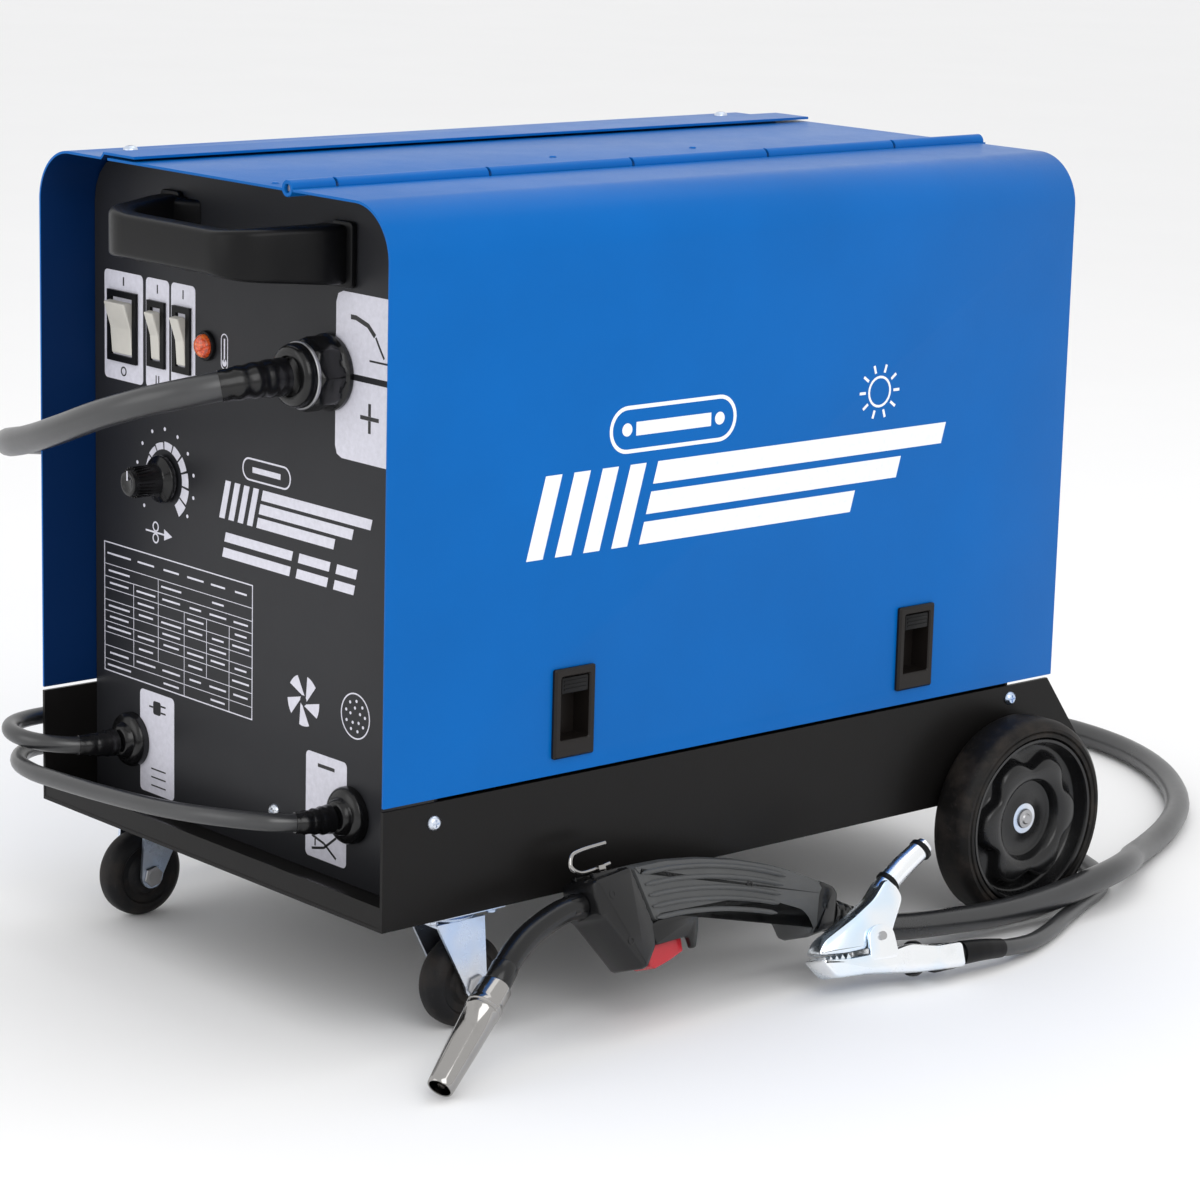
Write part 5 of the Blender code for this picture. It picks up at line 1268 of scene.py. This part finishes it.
class WELDER_OT_controls(bpy.types.Operator):
    """Makes the handle, the knob, the lamp, the torch outlet, the grommets and the rockers."""

    bl_idname = "welder.controls"
    bl_label = "Controls"

    def execute(self, context):
        wear("plastic", "power_switch_body", "range_switch_body", "step_switch_body")
        wear("ivory", "power_rocker", "range_rocker", "step_rocker")
        self.handle()
        self.knob(context.scene.welder_sizes.knob_ribs)
        self.lamp()
        self.outlet()
        for name, x, z in (("mains", -0.121, 0.113), ("earth", 0.088, 0.115)):
            self.grommet(name, x, z)
        return {"FINISHED"}

    @staticmethod
    def handle():
        """A bowed grip whose section grows into two feet."""
        grip, foot, reach, thick = 0.062, 0.089, 0.0627, 0.015
        path = softened([(-foot + 0.0095, 0.0), (-grip + 0.0045, -reach + thick / 2),
                         (grip - 0.0045, -reach + thick / 2),
                         (foot - 0.0095, 0.0)], 0.016, 8)
        dense = []
        for a, b in zip(path, path[1:]):
            a, b = Vector(a), Vector(b)
            steps = max(1, int((b - a).length / 0.004))
            dense += [a.lerp(b, n / steps) for n in range(steps)]
        dense.append(Vector(path[-1]))
        rings = []
        for n, here in enumerate(dense):
            before, after = dense[max(0, n - 1)], dense[min(len(dense) - 1, n + 1)]
            way = (after - before).normalized()
            if n in (0, len(dense) - 1):
                way = Vector((0.0, -1.0 if n == 0 else 1.0))
            side = Vector((-way.y, way.x))
            out = min(1.0, max(0.0, (abs(here.x) - grip * 0.62) / (foot - grip * 0.62)))
            half_high = 0.0120 + 0.0058 * out ** 1.3
            half_wide = 0.0074 + 0.0018 * max(0.0, 1.0 + here.y / 0.030) if here.y > -0.030 else 0.0074
            section = rectangle(-half_wide, -half_high, half_wide, half_high, 0.0034, 4)
            rings.append([MACHINE @ Vector((here.x + side.x * u, PANEL_Y - 0.0004 + here.y + side.y * u,
                                            0.421 + v))
                          for u, v in section])
        shape = Shape()
        shape.skin(rings)
        for x in (-0.0795, 0.0795):
            place = facing(x, PANEL_Y - 0.0004, 0.421, "front")
            shape.prism(rectangle(-0.0090, -0.0178, 0.0090, 0.0178, 0.003), 0.0, 0.0035, place, 0.0010)
        shape.piece("handle_grip", ["plastic"], "machine", "black_plastic", ("front_handle",))

    @staticmethod
    def knob(ribs):
        place = facing(-0.089, PANEL_Y, 0.273, "front")
        r, long = 0.011, 0.026
        shape = Shape()
        shape.turned([(0, long - 0.0004), (r * 0.40, long - 0.0004), (r * 0.46, long), (r * 0.62, long),
                      (r * 0.67, long - 0.0004), (r * 0.70, long - 0.0016), (r * 0.86, 0.0085),
                      (r * 0.90, 0.0072),
                      (r * 1.20, 0.0050), (r * 1.25, 0.0042), (r * 1.25, 0.0018), (r * 1.20, 0.0012),
                      (0.0029, 0.0012), (0.0029, -0.013), (0, -0.013)], place, 56)
        shape.box((-0.0005, 0.0015, long - 0.0002), (0.0005, r * 0.64, long + 0.0002), place, material=1)
        shape.piece("knob_cap", ["gloss", "marks"], "knob", "black_plastic", ("speed_knob",))

        tree = repeat_tree("knob_ribs", ("Width", "Length", "Height"), rib_bar)
        points = []
        for n in range(ribs):
            a = math.tau * n / ribs
            way = Vector((math.cos(a), math.sin(a), 0.0))
            at = place @ (way * (r * 0.775) + Vector((0, 0, 0.0160)))
            points.append((at, (place.to_3x3() @ way)))
        repeated("knob_fluting", tree, {"Width": 0.0007, "Length": 0.0135, "Height": 0.0009}, points,
                 "gloss", "knob")

    @staticmethod
    def lamp():
        place = facing(-0.048, PANEL_Y, 0.355, "front")
        r = 0.0085
        shape = Shape()
        dome = [(r * 0.80 * math.sin(math.radians(a)), 0.0026 + 0.0049 * math.cos(math.radians(a)))
                for a in range(10, 91, 10)]
        shape.turned([(0, 0.0075), *dome, (r * 0.80, 0.0015), (0, 0.0015)], place, 40)
        shape.turned([(r * 0.82, 0.0026), (r * 0.96, 0.0026), (r, 0.0020), (r, 0.0003), (0.0051, 0.0003),
                      (0.0051, -0.013), (0.0035, -0.013), (0.0035, 0.0012), (r * 0.82, 0.0012)], place,
                      40,
                     closed=True, material=1)
        shape.piece("lamp_lens", ["lens", "plastic"], "machine", "amber_lens", ("indicator_lamp",))

    @staticmethod
    def outlet():
        """A moulded union nut with eight flats, a bevelled nose and a silver bush round the lead."""
        place = facing(0.066, PANEL_Y, 0.356, "front")
        shape = Shape()

        def flats(radius, height, square):
            points = []
            for n in range(96):
                a = math.tau * n / 96 + math.radians(8)
                near = (a % (math.tau / 8)) - math.tau / 16
                flat = radius * math.cos(math.tau / 16) / math.cos(near)
                here = radius + (flat - radius) * square
                points.append(place @ Vector((math.cos(a) * here, math.sin(a) * here, height)))
            return points

        rings = [flats(0.0124, -0.019, 0), flats(0.0124, 0.0003, 0), flats(0.0205, 0.0003, 0),
                 flats(0.0210, 0.0010, 0),
                 flats(0.0210, 0.0030, 0), flats(0.0196, 0.0046, 0.2), flats(0.0200, 0.0065, 1),
                 flats(0.0205, 0.0080, 1),
                 flats(0.0205, 0.0165, 1), flats(0.0198, 0.0182, 1), flats(0.0190, 0.0192, 0.5),
                 flats(0.0178, 0.0200, 0), flats(0.0176, 0.0235, 0), flats(0.0170, 0.0262, 0),
                 flats(0.0158, 0.0278, 0),
                 flats(0.0140, 0.0285, 0), flats(0.0112, 0.0285, 0), flats(0.0106, 0.0270, 0),
                 flats(0.0106, 0.0240, 0)]
        shape.skin(rings)
        shape.turned([(0.0172, 0.0195), (0.0181, 0.0195), (0.0184, 0.0201), (0.0184, 0.0213),
                      (0.0180, 0.0218),
                      (0.0172, 0.0218)], place, 64, closed=True, material=1)
        shape.piece("outlet_nut", ["gloss", "steel"], "machine", "black_plastic", ("torch_outlet",))

    @staticmethod
    def grommet(name, x, z):
        place = facing(x, PANEL_Y, z, "front")
        r = 0.016
        profile = [(0, 0.0118), (r * 0.50, 0.0118), (r * 0.58, 0.0110), (r * 0.64, 0.0085),
                   (r * 0.68, 0.0074),
                   (r * 0.80, 0.0070), (r * 0.92, 0.0060), (r * 0.985, 0.0045), (r, 0.0030), (r, 0.0003),
                   (0.0099, 0.0003), (0.0099, -0.0055), (0, -0.0055)]
        shape = Shape().turned(profile, place, 56)
        shape.piece(f"{name}_gland", ["gloss"], "machine", "cable_rubber", (f"{name}_grommet",))


# ---------------------------------------------------------------- running gear


class WELDER_OT_wheels(bpy.types.Operator):
    """Makes the rear wheels with their lobed hubs, and the four casters' pieces."""

    bl_idname = "welder.wheels"
    bl_label = "Wheels"

    def execute(self, context):
        for name, sign in (("left", -1), ("right", 1)):
            self.rear_wheel(name, sign, context.scene.welder_sizes.hub_lobes)
            self.caster(name, sign)
        self.axle()
        return {"FINISHED"}

    @staticmethod
    def rear_wheel(name, sign, lobes):
        place = along(MACHINE @ Vector((sign * WHEEL_X, WHEEL_Y, WHEEL_RADIUS)), (sign, 0, 0))
        r, w, inner = WHEEL_RADIUS, WHEEL_WIDTH / 2, WHEEL_RADIUS - 0.011
        face = w - 0.0004
        profile = [(inner, w - 0.0030), (inner + 0.0006, face - 0.0002), (inner + 0.0028, face),
                   (inner + 0.0036, face - 0.0010), (inner + 0.0044, face), (inner + 0.0062, face),
                   (r - 0.0036, face - 0.0010), (r - 0.0018, face - 0.0026), (r - 0.0006, face - 0.0046),
                   (r, face - 0.0072), (r, -w + 0.0072), (r - 0.0006, -w + 0.0046),
                   (r - 0.0018, -w + 0.0026),
                   (r - 0.0036, -w + 0.0010), (inner + 0.0060, -w), (inner + 0.0010, -w),
                   (inner, -w + 0.0020)]
        tyre = Shape().turned(profile, place, 128, closed=True)
        tyre.piece(f"tyre_{name}", ["tyre"], f"{name}_rear_wheel", "tyre_rubber", (f"rear_tyre_{name}",))
        rim, bore = inner - 0.0003, 0.0064
        hub = Shape()
        count = 192

        def ring(radius, height, waves=0.0, turn=0.0):
            """A ring whose radius dips between the lobes."""
            points = []
            for n in range(count):
                a = math.tau * n / count
                dip = (0.5 - 0.5 * math.cos(lobes * (a - turn))) ** 1.7
                here = radius - waves * dip
                points.append(place @ Vector((here * math.cos(a), here * math.sin(a), height)))
            return points

        rings = [ring(bore, w - 0.0090), ring(0.0092, w - 0.0090), ring(0.0096, w - 0.0084),
                 ring(0.0140, w - 0.0100),
                 ring(0.0215, w - 0.0102), ring(0.0232, w - 0.0094), ring(0.0246, w - 0.0040),
                 ring(0.0258, w - 0.0026),
                 ring(0.0300, w - 0.0018), ring(0.0372, w - 0.0022, 0.0062),
                 ring(0.0392, w - 0.0034, 0.0072),
                 ring(0.0400, w - 0.0060, 0.0076), ring(0.0410, w - 0.0098, 0.0078),
                 ring(0.0424, w - 0.0112, 0.0076),
                 ring(0.0445, w - 0.0116), ring(rim - 0.0040, w - 0.0100), ring(rim - 0.0030, w - 0.0030),
                 ring(rim - 0.0022, w - 0.0012), ring(rim - 0.0006, w - 0.0010), ring(rim, w - 0.0018),
                 ring(rim, -w + 0.0018), ring(rim - 0.0008, -w + 0.0010), ring(rim - 0.0040, -w + 0.0010),
                 ring(rim - 0.0060, -w + 0.0100), ring(0.0198, -w + 0.0100), ring(0.0174, -w),
                 ring(bore, -w)]
        hub.skin(rings, wrap=True)
        hub.piece(f"hub_{name}", ["hub"], f"{name}_rear_wheel", "black_plastic", (f"rear_hub_{name}",),
                  50.0)

    @staticmethod
    def axle():
        """The axle with a washer and a peened end on each side."""
        shape = Shape()
        reach = WHEEL_X + WHEEL_WIDTH / 2 - 0.010 + 0.004
        place = along(MACHINE @ Vector((-reach, WHEEL_Y, WHEEL_RADIUS)), (1, 0, 0))
        long = 2 * reach
        shape.turned([(0, 0.0006), (0.0026, 0.0), (0.0034, 0.0008), (0.0056, 0.0010), (0.0060, 0.0018),
                      (0.0060, long - 0.0018), (0.0056, long - 0.0010), (0.0034, long - 0.0008),
                      (0.0026, long),
                      (0, long - 0.0006)], place, 40)
        for sign in (-1, 1):
            at = MACHINE @ Vector((sign * (reach - 0.0034), WHEEL_Y, WHEEL_RADIUS))
            washer = along(at, (sign, 0, 0))
            shape.turned([(0.0061, 0.0), (0.0092, 0.0), (0.0095, 0.0003), (0.0092, 0.0008),
                          (0.0061, 0.0010)], washer,
                         40, closed=True, material=1)
        shape.piece("axle_rod", ["steel", "zinc"], "machine", "plain_steel", ("rear_axle",))

    @staticmethod
    def caster(name, sign):
        trail = sign * CASTER_TRAIL
        centre = MACHINE @ Vector((sign * CASTER_X, CASTER_Y + trail, CASTER_RADIUS))
        place = along(centre, (1, 0, 0))
        r, w, bore = CASTER_RADIUS, CASTER_WIDTH / 2, 0.0044
        half = [(bore, w), (r * 0.38, w), (r * 0.42, w - 0.0004), (r * 0.44, w - 0.0016),
                (r * 0.50, w - 0.0026),
                (r * 0.66, w - 0.0022), (r * 0.70, w - 0.0010), (r * 0.78, w - 0.0008),
                (r * 0.86, w - 0.0018),
                (r * 0.95, w - 0.0036), (r * 0.99, w - 0.0056), (r, w - 0.0080)]
        wheel = Shape()
        wheel.turned([*half, *[(radius, -z) for radius, z in half[::-1]]], place, 72, closed=True)
        wheel.piece(f"caster_roller_{name}", ["caster_tyre"], f"{name}_caster_wheel", "tyre_rubber",
                    (f"caster_wheel_{name}",))
        wear("zinc", f"caster_fork_{name}", f"caster_plate_{name}")
        wear("steel", f"caster_axle_{name}")
        nuts = Shape()
        out = CASTER_WIDTH / 2 + 0.004
        for way in (-1, 1):
            nut = along(centre + Vector((way * (out + 0.0001), 0, 0)), (way, 0, 0))
            nuts.prism(arc((0, 0), 0.0064, 15, 315, 5), 0.0, 0.0017, nut, 0.0004)
        race = MACHINE @ Matrix.Translation((sign * CASTER_X, CASTER_Y, 0))
        nuts.turned([(0.0151, 0.0652), (0.0156, 0.0656), (0.0172, 0.0664), (0.0176, 0.0676),
                     (0.0151, 0.0690)],
                    race, 48, closed=True)
        corners = [(x, y) for x in (-0.0155, 0.0155) for y in (-0.0205, 0.0205)]
        for x, y in corners:
            bolt = race @ Matrix.Translation((x, y, 0.0700)) @ Matrix.Rotation(math.pi, 4, "X")
            nuts.prism(arc((0, 0), 0.0036, 0, 300, 5), 0.0, 0.0026, bolt, 0.0003)
        # the axle's nuts turn with the fork, the plate's bolts do not, so each goes on its own body
        nuts.mesh.faces.ensure_lookup_table()
        fixed = Shape()
        mesh = bpy.data.meshes.new("caster_nuts_all")
        nuts.mesh.to_mesh(mesh)
        fixed.mesh.from_mesh(mesh)
        low = 0.050
        for shape, keep_high in ((nuts, False), (fixed, True)):
            drop = [f for f in shape.mesh.faces if (f.calc_center_median().z > low) != keep_high]
            bmesh.ops.delete(shape.mesh, geom=drop, context="FACES")
        nuts.piece(f"caster_nuts_{name}", ["steel"], f"{name}_fork", "plain_steel")
        fixed.piece(f"caster_bolts_{name}", ["zinc"], "machine", "zinc_plate")


# ---------------------------------------------------------------- torch


class WELDER_OT_torch(bpy.types.Operator):
    """Makes the torch: its ribbed grip, trigger, neck, nozzle and hanging hook."""

    bl_idname = "welder.torch"
    bl_label = "Torch"

    def execute(self, context):
        self.grip()
        self.neck()
        self.nozzle()
        wear("red", "torch_trigger")
        return {"FINISHED"}

    @staticmethod
    def grip():
        back = [(-0.1290, 0.0390), (-0.1010, 0.0412), (-0.0730, 0.0402), (-0.0455, 0.0363),
                (-0.0180, 0.0302),
                (0.0090, 0.0218), (0.0280, 0.0142), (0.0465, 0.0052), (0.0570, -0.0005),
                (0.0595, -0.0060)]
        belly = [(0.0500, -0.0240), (0.0270, -0.0255), (0.0240, -0.0135), (0.0030, -0.0046),
                 (-0.0135, 0.0004),
                 (-0.0300, 0.0030), (-0.0550, 0.0035)]
        place = TORCH @ SIDEWAYS
        half = 0.0138
        block_end = -0.0990
        shape = Shape()
        # the glossy front block with the trigger's guard, then the ribbed grip behind it
        front = [(block_end, 0.0412), (-0.1290, 0.0390), (-0.1300, 0.0190), (-0.1265, 0.0160),
                 (-0.1065, -0.0150),
                 (-0.1030, -0.0148), (-0.0930, -0.0045), (block_end + 0.008, 0.0070)]
        shape.prism(softened(front, 0.003), -half - 0.0002, half + 0.0002, place, 0.0030, material=1)
        rear = [(block_end + 0.0006, 0.0411), *back[2:], *belly[:4]]
        body = [*rear, (-0.0135, 0.0004), (-0.0300, 0.0030), (-0.0550, 0.0035), (-0.0672, 0.0045),
                (block_end + 0.0086, 0.0070)]
        shape.prism(softened(body, 0.004), -half, half, place, 0.0052, material=0)
        foot = [(0.0595, -0.0060), (0.0570, -0.0005), (0.0465, 0.0052), (0.0400, 0.0000),
                (0.0310, -0.0180),
                (0.0300, -0.0250), (0.0500, -0.0240)]
        shape.prism(softened(foot, 0.004), -half - 0.0002, half + 0.0002, place, 0.0040, material=1)
        for side in (-1, 1):
            low, high = sorted((side * 0.0094, side * half))
            cheek = [(-0.0560, 0.0060), (-0.0600, -0.0040), (-0.0640, -0.0118), (-0.0670, -0.0118),
                     (-0.0680, -0.0046), (-0.0930, -0.0046), (-0.0960, 0.0070), (-0.0800, 0.0100)]
            shape.prism(softened(cheek, 0.0016), low, high, place, 0.0012, material=1)
        ribs = Shape()
        line = [(-0.0930, 0.0385), (-0.0730, 0.0375), (-0.0455, 0.0338), (-0.0180, 0.0276),
                (0.0090, 0.0190),
                (0.0270, 0.0112)]
        smooth = smooth_route([(a, b, 0.0) for a, b in line], 3.0, 0.004)
        for side in (-1, 1):
            for n in range(5):
                drop = 0.0030 + 0.0064 * n
                trim = max(3, len(smooth) - 2 - n)
                path = [TORCH @ Vector((side * (half), p.x + 0.0010 * n,
                                        p.y - drop)) for p in smooth[:trim]]
                radii = [0.0015 if 0 < k < len(path) - 1 else 0.0005 for k in range(len(path))]
                ribs.tube(path, radii, 8)
        ribs.piece("grip_ribs", ["grip"], "machine", "grey_plastic")
        for x in (-0.0075, 0.0075):
            shape.box((-0.1240, 0.0385, x - 0.0022), (-0.1060, 0.0418, x + 0.0022), place, 0.0006,
                      material=1)
        for y, z in ((-0.1180, 0.0290), (-0.1120, 0.0020), (0.0450, -0.0100), (-0.0120, 0.0130)):
            for side in (-1, 1):
                boss = TORCH @ Matrix.Translation((side * (half + 0.0001), y, z)) @ Matrix.Rotation(
                    side * math.pi / 2, 4, "Y")
                shape.turned([(0.0014, -0.0008), (0.0022, -0.0008), (0.0024, 0.0003), (0.0014, 0.0003)],
                             boss, 20,
                             closed=True, material=1)
        shape.piece("torch_grip", ["grip", "gloss"], "machine", "grey_plastic", ("torch_handle",))

    @staticmethod
    def neck():
        elbow = [(0, -0.1303, 0.0262), (0, -0.1430, 0.0262), (0, -0.1580, 0.0232), (0, -0.1720, 0.0188),
                 (0, -0.1840, 0.0128), (0, -0.1940, 0.0058), (0, -0.2025, -0.0015)]
        path = smooth_route(elbow, 3.0, 0.004)
        shape = Shape()
        shape.tube([TORCH @ p for p in path], 0.0070, 28)
        nut = along(TORCH @ Vector((0, -0.1304, 0.0262)), TORCH.to_3x3() @ Vector((0, -1, 0)))
        shape.prism(arc((0, 0), 0.0076, 0, 300, 5), 0.0, 0.0105, nut, 0.0008)
        end = path[-1]
        way = (path[-1] - path[-3]).normalized()
        collar = [TORCH @ (end - way * d) for d in (0.0125, 0.0115, 0.0010, 0.0)]
        shape.tube(collar, [0.0070, 0.0075, 0.0075, 0.0070], 28)
        shape.piece("neck_tube", ["gloss"], "machine", "black_plastic", ("swan_neck",))
        wire = [(0, -0.1020, 0.0446), (0, -0.1160, 0.0434), (0, -0.1260, 0.0440), (0, -0.1310, 0.0485),
                (0, -0.1285, 0.0540), (0, -0.1210, 0.0556), (0, -0.1020, 0.0562)]
        hook = Shape().tube([TORCH @ p for p in smooth_route(wire, 6.0, 0.004)], 0.0014, 14)
        hook.box((-0.0030, -0.1130, 0.0414), (0.0030, -0.1080, 0.0452), TORCH, 0.0006)
        hook.piece("hook_wire", ["chrome"], "machine", "zinc_plate", ("torch_hook",))

    @staticmethod
    def nozzle():
        way = (TORCH.to_3x3() @ Vector((0, -0.0560, -0.0440))).normalized()
        start = TORCH @ Vector((0, -0.2025, -0.0015)) + way * 0.0006
        place = along(start, way)
        outer = [(0.0074, 0.0), (0.0088, 0.0004), (0.0092, 0.0012), (0.0093, 0.0110), (0.0095, 0.0125),
                 (0.0099, 0.0132), (0.0099, 0.0150), (0.0093, 0.0156), (0.0093, 0.0168), (0.0099, 0.0174),
                 (0.0099, 0.0188), (0.0094, 0.0196), (0.0091, 0.0300), (0.0087, 0.0410), (0.0080, 0.0560),
                 (0.0075, 0.0660), (0.0073, 0.0682), (0.0069, 0.0690)]
        inner = [(0.0062, 0.0688), (0.0060, 0.0640), (0.0060, 0.0480), (0.0030, 0.0475), (0.0028, 0.0600),
                 (0.0020, 0.0618), (0.0007, 0.0620), (0.0007, 0.0560), (0, 0.0560)]
        shape = Shape().turned([(0, 0.0), *outer, *inner], place, 56)
        shape.piece("nozzle_shell", ["chrome"], "machine", "bright_chrome", ("torch_nozzle",))


# ---------------------------------------------------------------- earth clamp


class WELDER_OT_clamp(bpy.types.Operator):
    """Makes the earth clamp: two formed jaws, their sleeves and pin."""

    bl_idname = "welder.clamp"
    bl_label = "Earth clamp"

    def execute(self, context):
        place = CLAMP @ SIDEWAYS
        lower = [(-0.040, 0.0030), (-0.031, -0.0090), (-0.008, -0.0095), (0.025, -0.0135),
                 (0.058, -0.0150),
                 (0.058, 0.0000), (0.040, 0.0000), (0.022, 0.0035), (0.010, 0.0015), (-0.004, 0.0015),
                 (-0.020, 0.0010)]
        shape = Shape()
        shape.prism(softened(lower, 0.0035), -0.0104, 0.0104, place, 0.0022)
        for side in (-1, 1):
            low, high = sorted((side * 0.0081, side * 0.0105))
            ear = [(-0.007, -0.003), (0.013, -0.003), (0.0115, 0.014), (0.003, 0.0180), (-0.0055, 0.014)]
            shape.prism(softened(ear, 0.004), low, high, place, 0.0006)
        for n in range(5):
            y = -0.0375 + n * 0.0040
            tooth = [(y, 0.0012), (y + 0.0016, 0.0036), (y + 0.0032, 0.0010)]
            shape.prism(tooth, -0.0080, 0.0080, place)
        shape.tube([CLAMP @ Vector((0, y, z)) for y,
                    z in ((0.0255, -0.0052), (0.0268, -0.0054), (0.0300, -0.0057),
                                                          (0.0313, -0.0059))], [0.0096, 0.0102, 0.0102,
                                                                                0.0096], 32,
                   material=1)
        shape.tube([CLAMP @ Vector((0, y, z)) for y,
                    z in ((0.0400, -0.0072), (0.0420, -0.0073), (0.0560, -0.0076),
                                                          (0.0578, -0.0077))], [0.0078, 0.0084, 0.0076,
                                                                                0.0070], 32,
                   material=1)
        shape.piece("clamp_base", ["clamp_zinc", "plastic"], "machine", "zinc_plate",
                    ("clamp_lower_jaw",))
        upper = [(-0.040, 0.0050), (-0.034, 0.0130), (-0.012, 0.0230), (0.004, 0.0320), (0.014, 0.0420),
                 (0.020, 0.0385),
                 (0.0240, 0.0300), (0.020, 0.0230), (0.015, 0.0150), (0.010, 0.0050), (0.003, 0.0035),
                 (-0.004, 0.0045), (-0.020, 0.0036)]
        jaw = Shape()
        jaw.prism(softened(upper, 0.004), -0.0074, 0.0074, place, 0.0020)
        handle = [(0.0130, 0.0345), (0.0190, 0.0390), (0.0300, 0.0465), (0.0430, 0.0540),
                  (0.0490, 0.0568)]
        jaw.tube([CLAMP @ Vector((0, y, z)) for y, z in handle], [0.0058, 0.0064, 0.0064, 0.0060, 0.0052],
                 28)
        for (y, z), radius in (((0.0195, 0.0394), 0.0073), ((0.0455, 0.0551), 0.0069)):
            step = Vector((0, 0.83, 0.55)) * 0.0016
            at = Vector((0, y, z))
            jaw.tube([CLAMP @ (at - step), CLAMP @ (at - step * 0.7), CLAMP @ (at + step * 0.7),
                      CLAMP @ (at + step)],
                     [radius - 0.0006, radius, radius, radius - 0.0006], 28, material=1)
        jaw.piece("clamp_lever", ["clamp_zinc", "plastic"], "clamp_jaw", "zinc_plate",
                  ("clamp_upper_jaw",))
        wear("steel", "clamp_pin")
        return {"FINISHED"}


# ---------------------------------------------------------------- inside


class WELDER_OT_inside(bpy.types.Operator):
    """Finishes what the open door and the rear panel show."""

    bl_idname = "welder.inside"
    bl_label = "Inside"

    def execute(self, context):
        place = along(MACHINE @ Vector((0.031, 0.345, 0.290)), (1, 0, 0))
        spool = Shape()
        r, w, f, bore = 0.100, 0.050, 0.003, 0.0160
        wound = r * 0.84
        for z0 in (0.0, w - f):
            spool.turned([(bore, z0), (r - 0.0010, z0), (r, z0 + 0.0006), (r, z0 + f - 0.0006),
                          (r - 0.0010, z0 + f),
                          (bore, z0 + f)], place, 96, closed=True)
        spool.turned([(bore, f + 0.0002), (wound, f + 0.0002), (wound, w - f - 0.0002),
                      (bore, w - f - 0.0002)], place,
                     96, closed=True, material=1)
        for n in range(6):
            turn = place @ Matrix.Rotation(math.tau * n / 6, 4, "Z")
            spool.box((0.030, -0.0014, w), (0.092, 0.0014, w + 0.0012), turn, 0.0004)
        spool.piece("spool_reel", ["plastic", "filler"], "spool", "copper", ("wire_spool",))
        wear("plastic", "spool_hub", "cooling_fan")
        wear("steel", "feed_motor", "drive_roller")
        wear("zinc", "pressure_arm")
        wear("brass", "gas_inlet")
        wear("core", "transformer_core")
        wear("copper", "transformer_coil")
        return {"FINISHED"}


# ---------------------------------------------------------------- stage


class WELDER_OT_stage(bpy.types.Operator):
    """Lays the pale floor and hangs the soft studio lights."""

    bl_idname = "welder.stage"
    bl_label = "Stage"

    def execute(self, context):
        scene = context.scene
        mesh = bpy.data.meshes.new("floor")
        mesh.from_pydata([(-9, -9, -0.0004), (9, -9, -0.0004), (9, 9, -0.0004), (-9, 9, -0.0004)], [],
                         [(0, 1, 2, 3)])
        mesh.materials.append(studio_floor("floor_paper"))
        floor = bpy.data.objects.new("floor", mesh)
        scene.collection.objects.link(floor)
        world = bpy.data.worlds.new("studio")
        world.use_nodes = True
        world.node_tree.nodes["Background"].inputs["Color"].default_value = (1.0, 1.0, 1.0, 1.0)
        world.node_tree.nodes["Background"].inputs["Strength"].default_value = 0.95
        scene.world = world
        scene.view_settings.view_transform = "Standard"
        self.light("key", (1.9, -0.9, 1.6), (0.05, -0.05, 0.25), 1.6, 18.0)
        self.light("front", (-0.6, -2.2, 0.9), (-0.05, -0.20, 0.25), 1.4, 6.0)
        self.light("top", (-0.2, 0.6, 2.4), (0.0, 0.0, 0.3), 1.8, 8.0)
        return {"FINISHED"}

    @staticmethod
    def light(name, at, target, size, power):
        data = bpy.data.lights.new(name, "AREA")
        data.shape = "SQUARE"
        data.size = size
        data.energy = power
        item = bpy.data.objects.new(name, data)
        way = Vector(target) - Vector(at)
        item.matrix_world = Matrix.Translation(at) @ way.to_track_quat("-Z", "Y").to_matrix().to_4x4()
        bpy.context.scene.collection.objects.link(item)


# ---------------------------------------------------------------- panel and start


STEPS = (WELDER_OT_view, WELDER_OT_leads, WELDER_OT_shell, WELDER_OT_latches, WELDER_OT_marks,
         WELDER_OT_controls,
         WELDER_OT_wheels, WELDER_OT_torch, WELDER_OT_clamp, WELDER_OT_inside, WELDER_OT_stage)


class WELDER_PT_sidebar(bpy.types.Panel):
    """Lists the steps and the settings."""

    bl_idname = "WELDER_PT_sidebar"
    bl_label = "MIG welder"
    bl_space_type = "VIEW_3D"
    bl_region_type = "UI"
    bl_category = "Welder"

    def draw(self, context):
        for group in (context.scene.welder_sizes, context.scene.welder_colours):
            box = self.layout.box()
            for key in group.__annotations__:
                box.prop(group, key)
        for step in STEPS:
            self.layout.operator(step.bl_idname)


CLASSES = (WelderSizes, WelderColours, *STEPS, WELDER_PT_sidebar)


def register():
    for item in CLASSES:
        bpy.utils.register_class(item)
    bpy.types.Scene.welder_sizes = PointerProperty(type=WelderSizes)
    bpy.types.Scene.welder_colours = PointerProperty(type=WelderColours)


def unregister():
    del bpy.types.Scene.welder_colours
    del bpy.types.Scene.welder_sizes
    for item in reversed(CLASSES):
        bpy.utils.unregister_class(item)


def main():
    register()
    mix_finishes(bpy.context.scene.welder_colours)
    bpy.ops.welder.view()
    bpy.ops.welder.leads()
    bpy.ops.welder.shell()
    bpy.ops.welder.latches()
    bpy.ops.welder.marks()
    bpy.ops.welder.controls()
    bpy.ops.welder.wheels()
    bpy.ops.welder.torch()
    bpy.ops.welder.clamp()
    bpy.ops.welder.inside()
    bpy.ops.welder.stage()


if __name__ == "__main__":
    main()
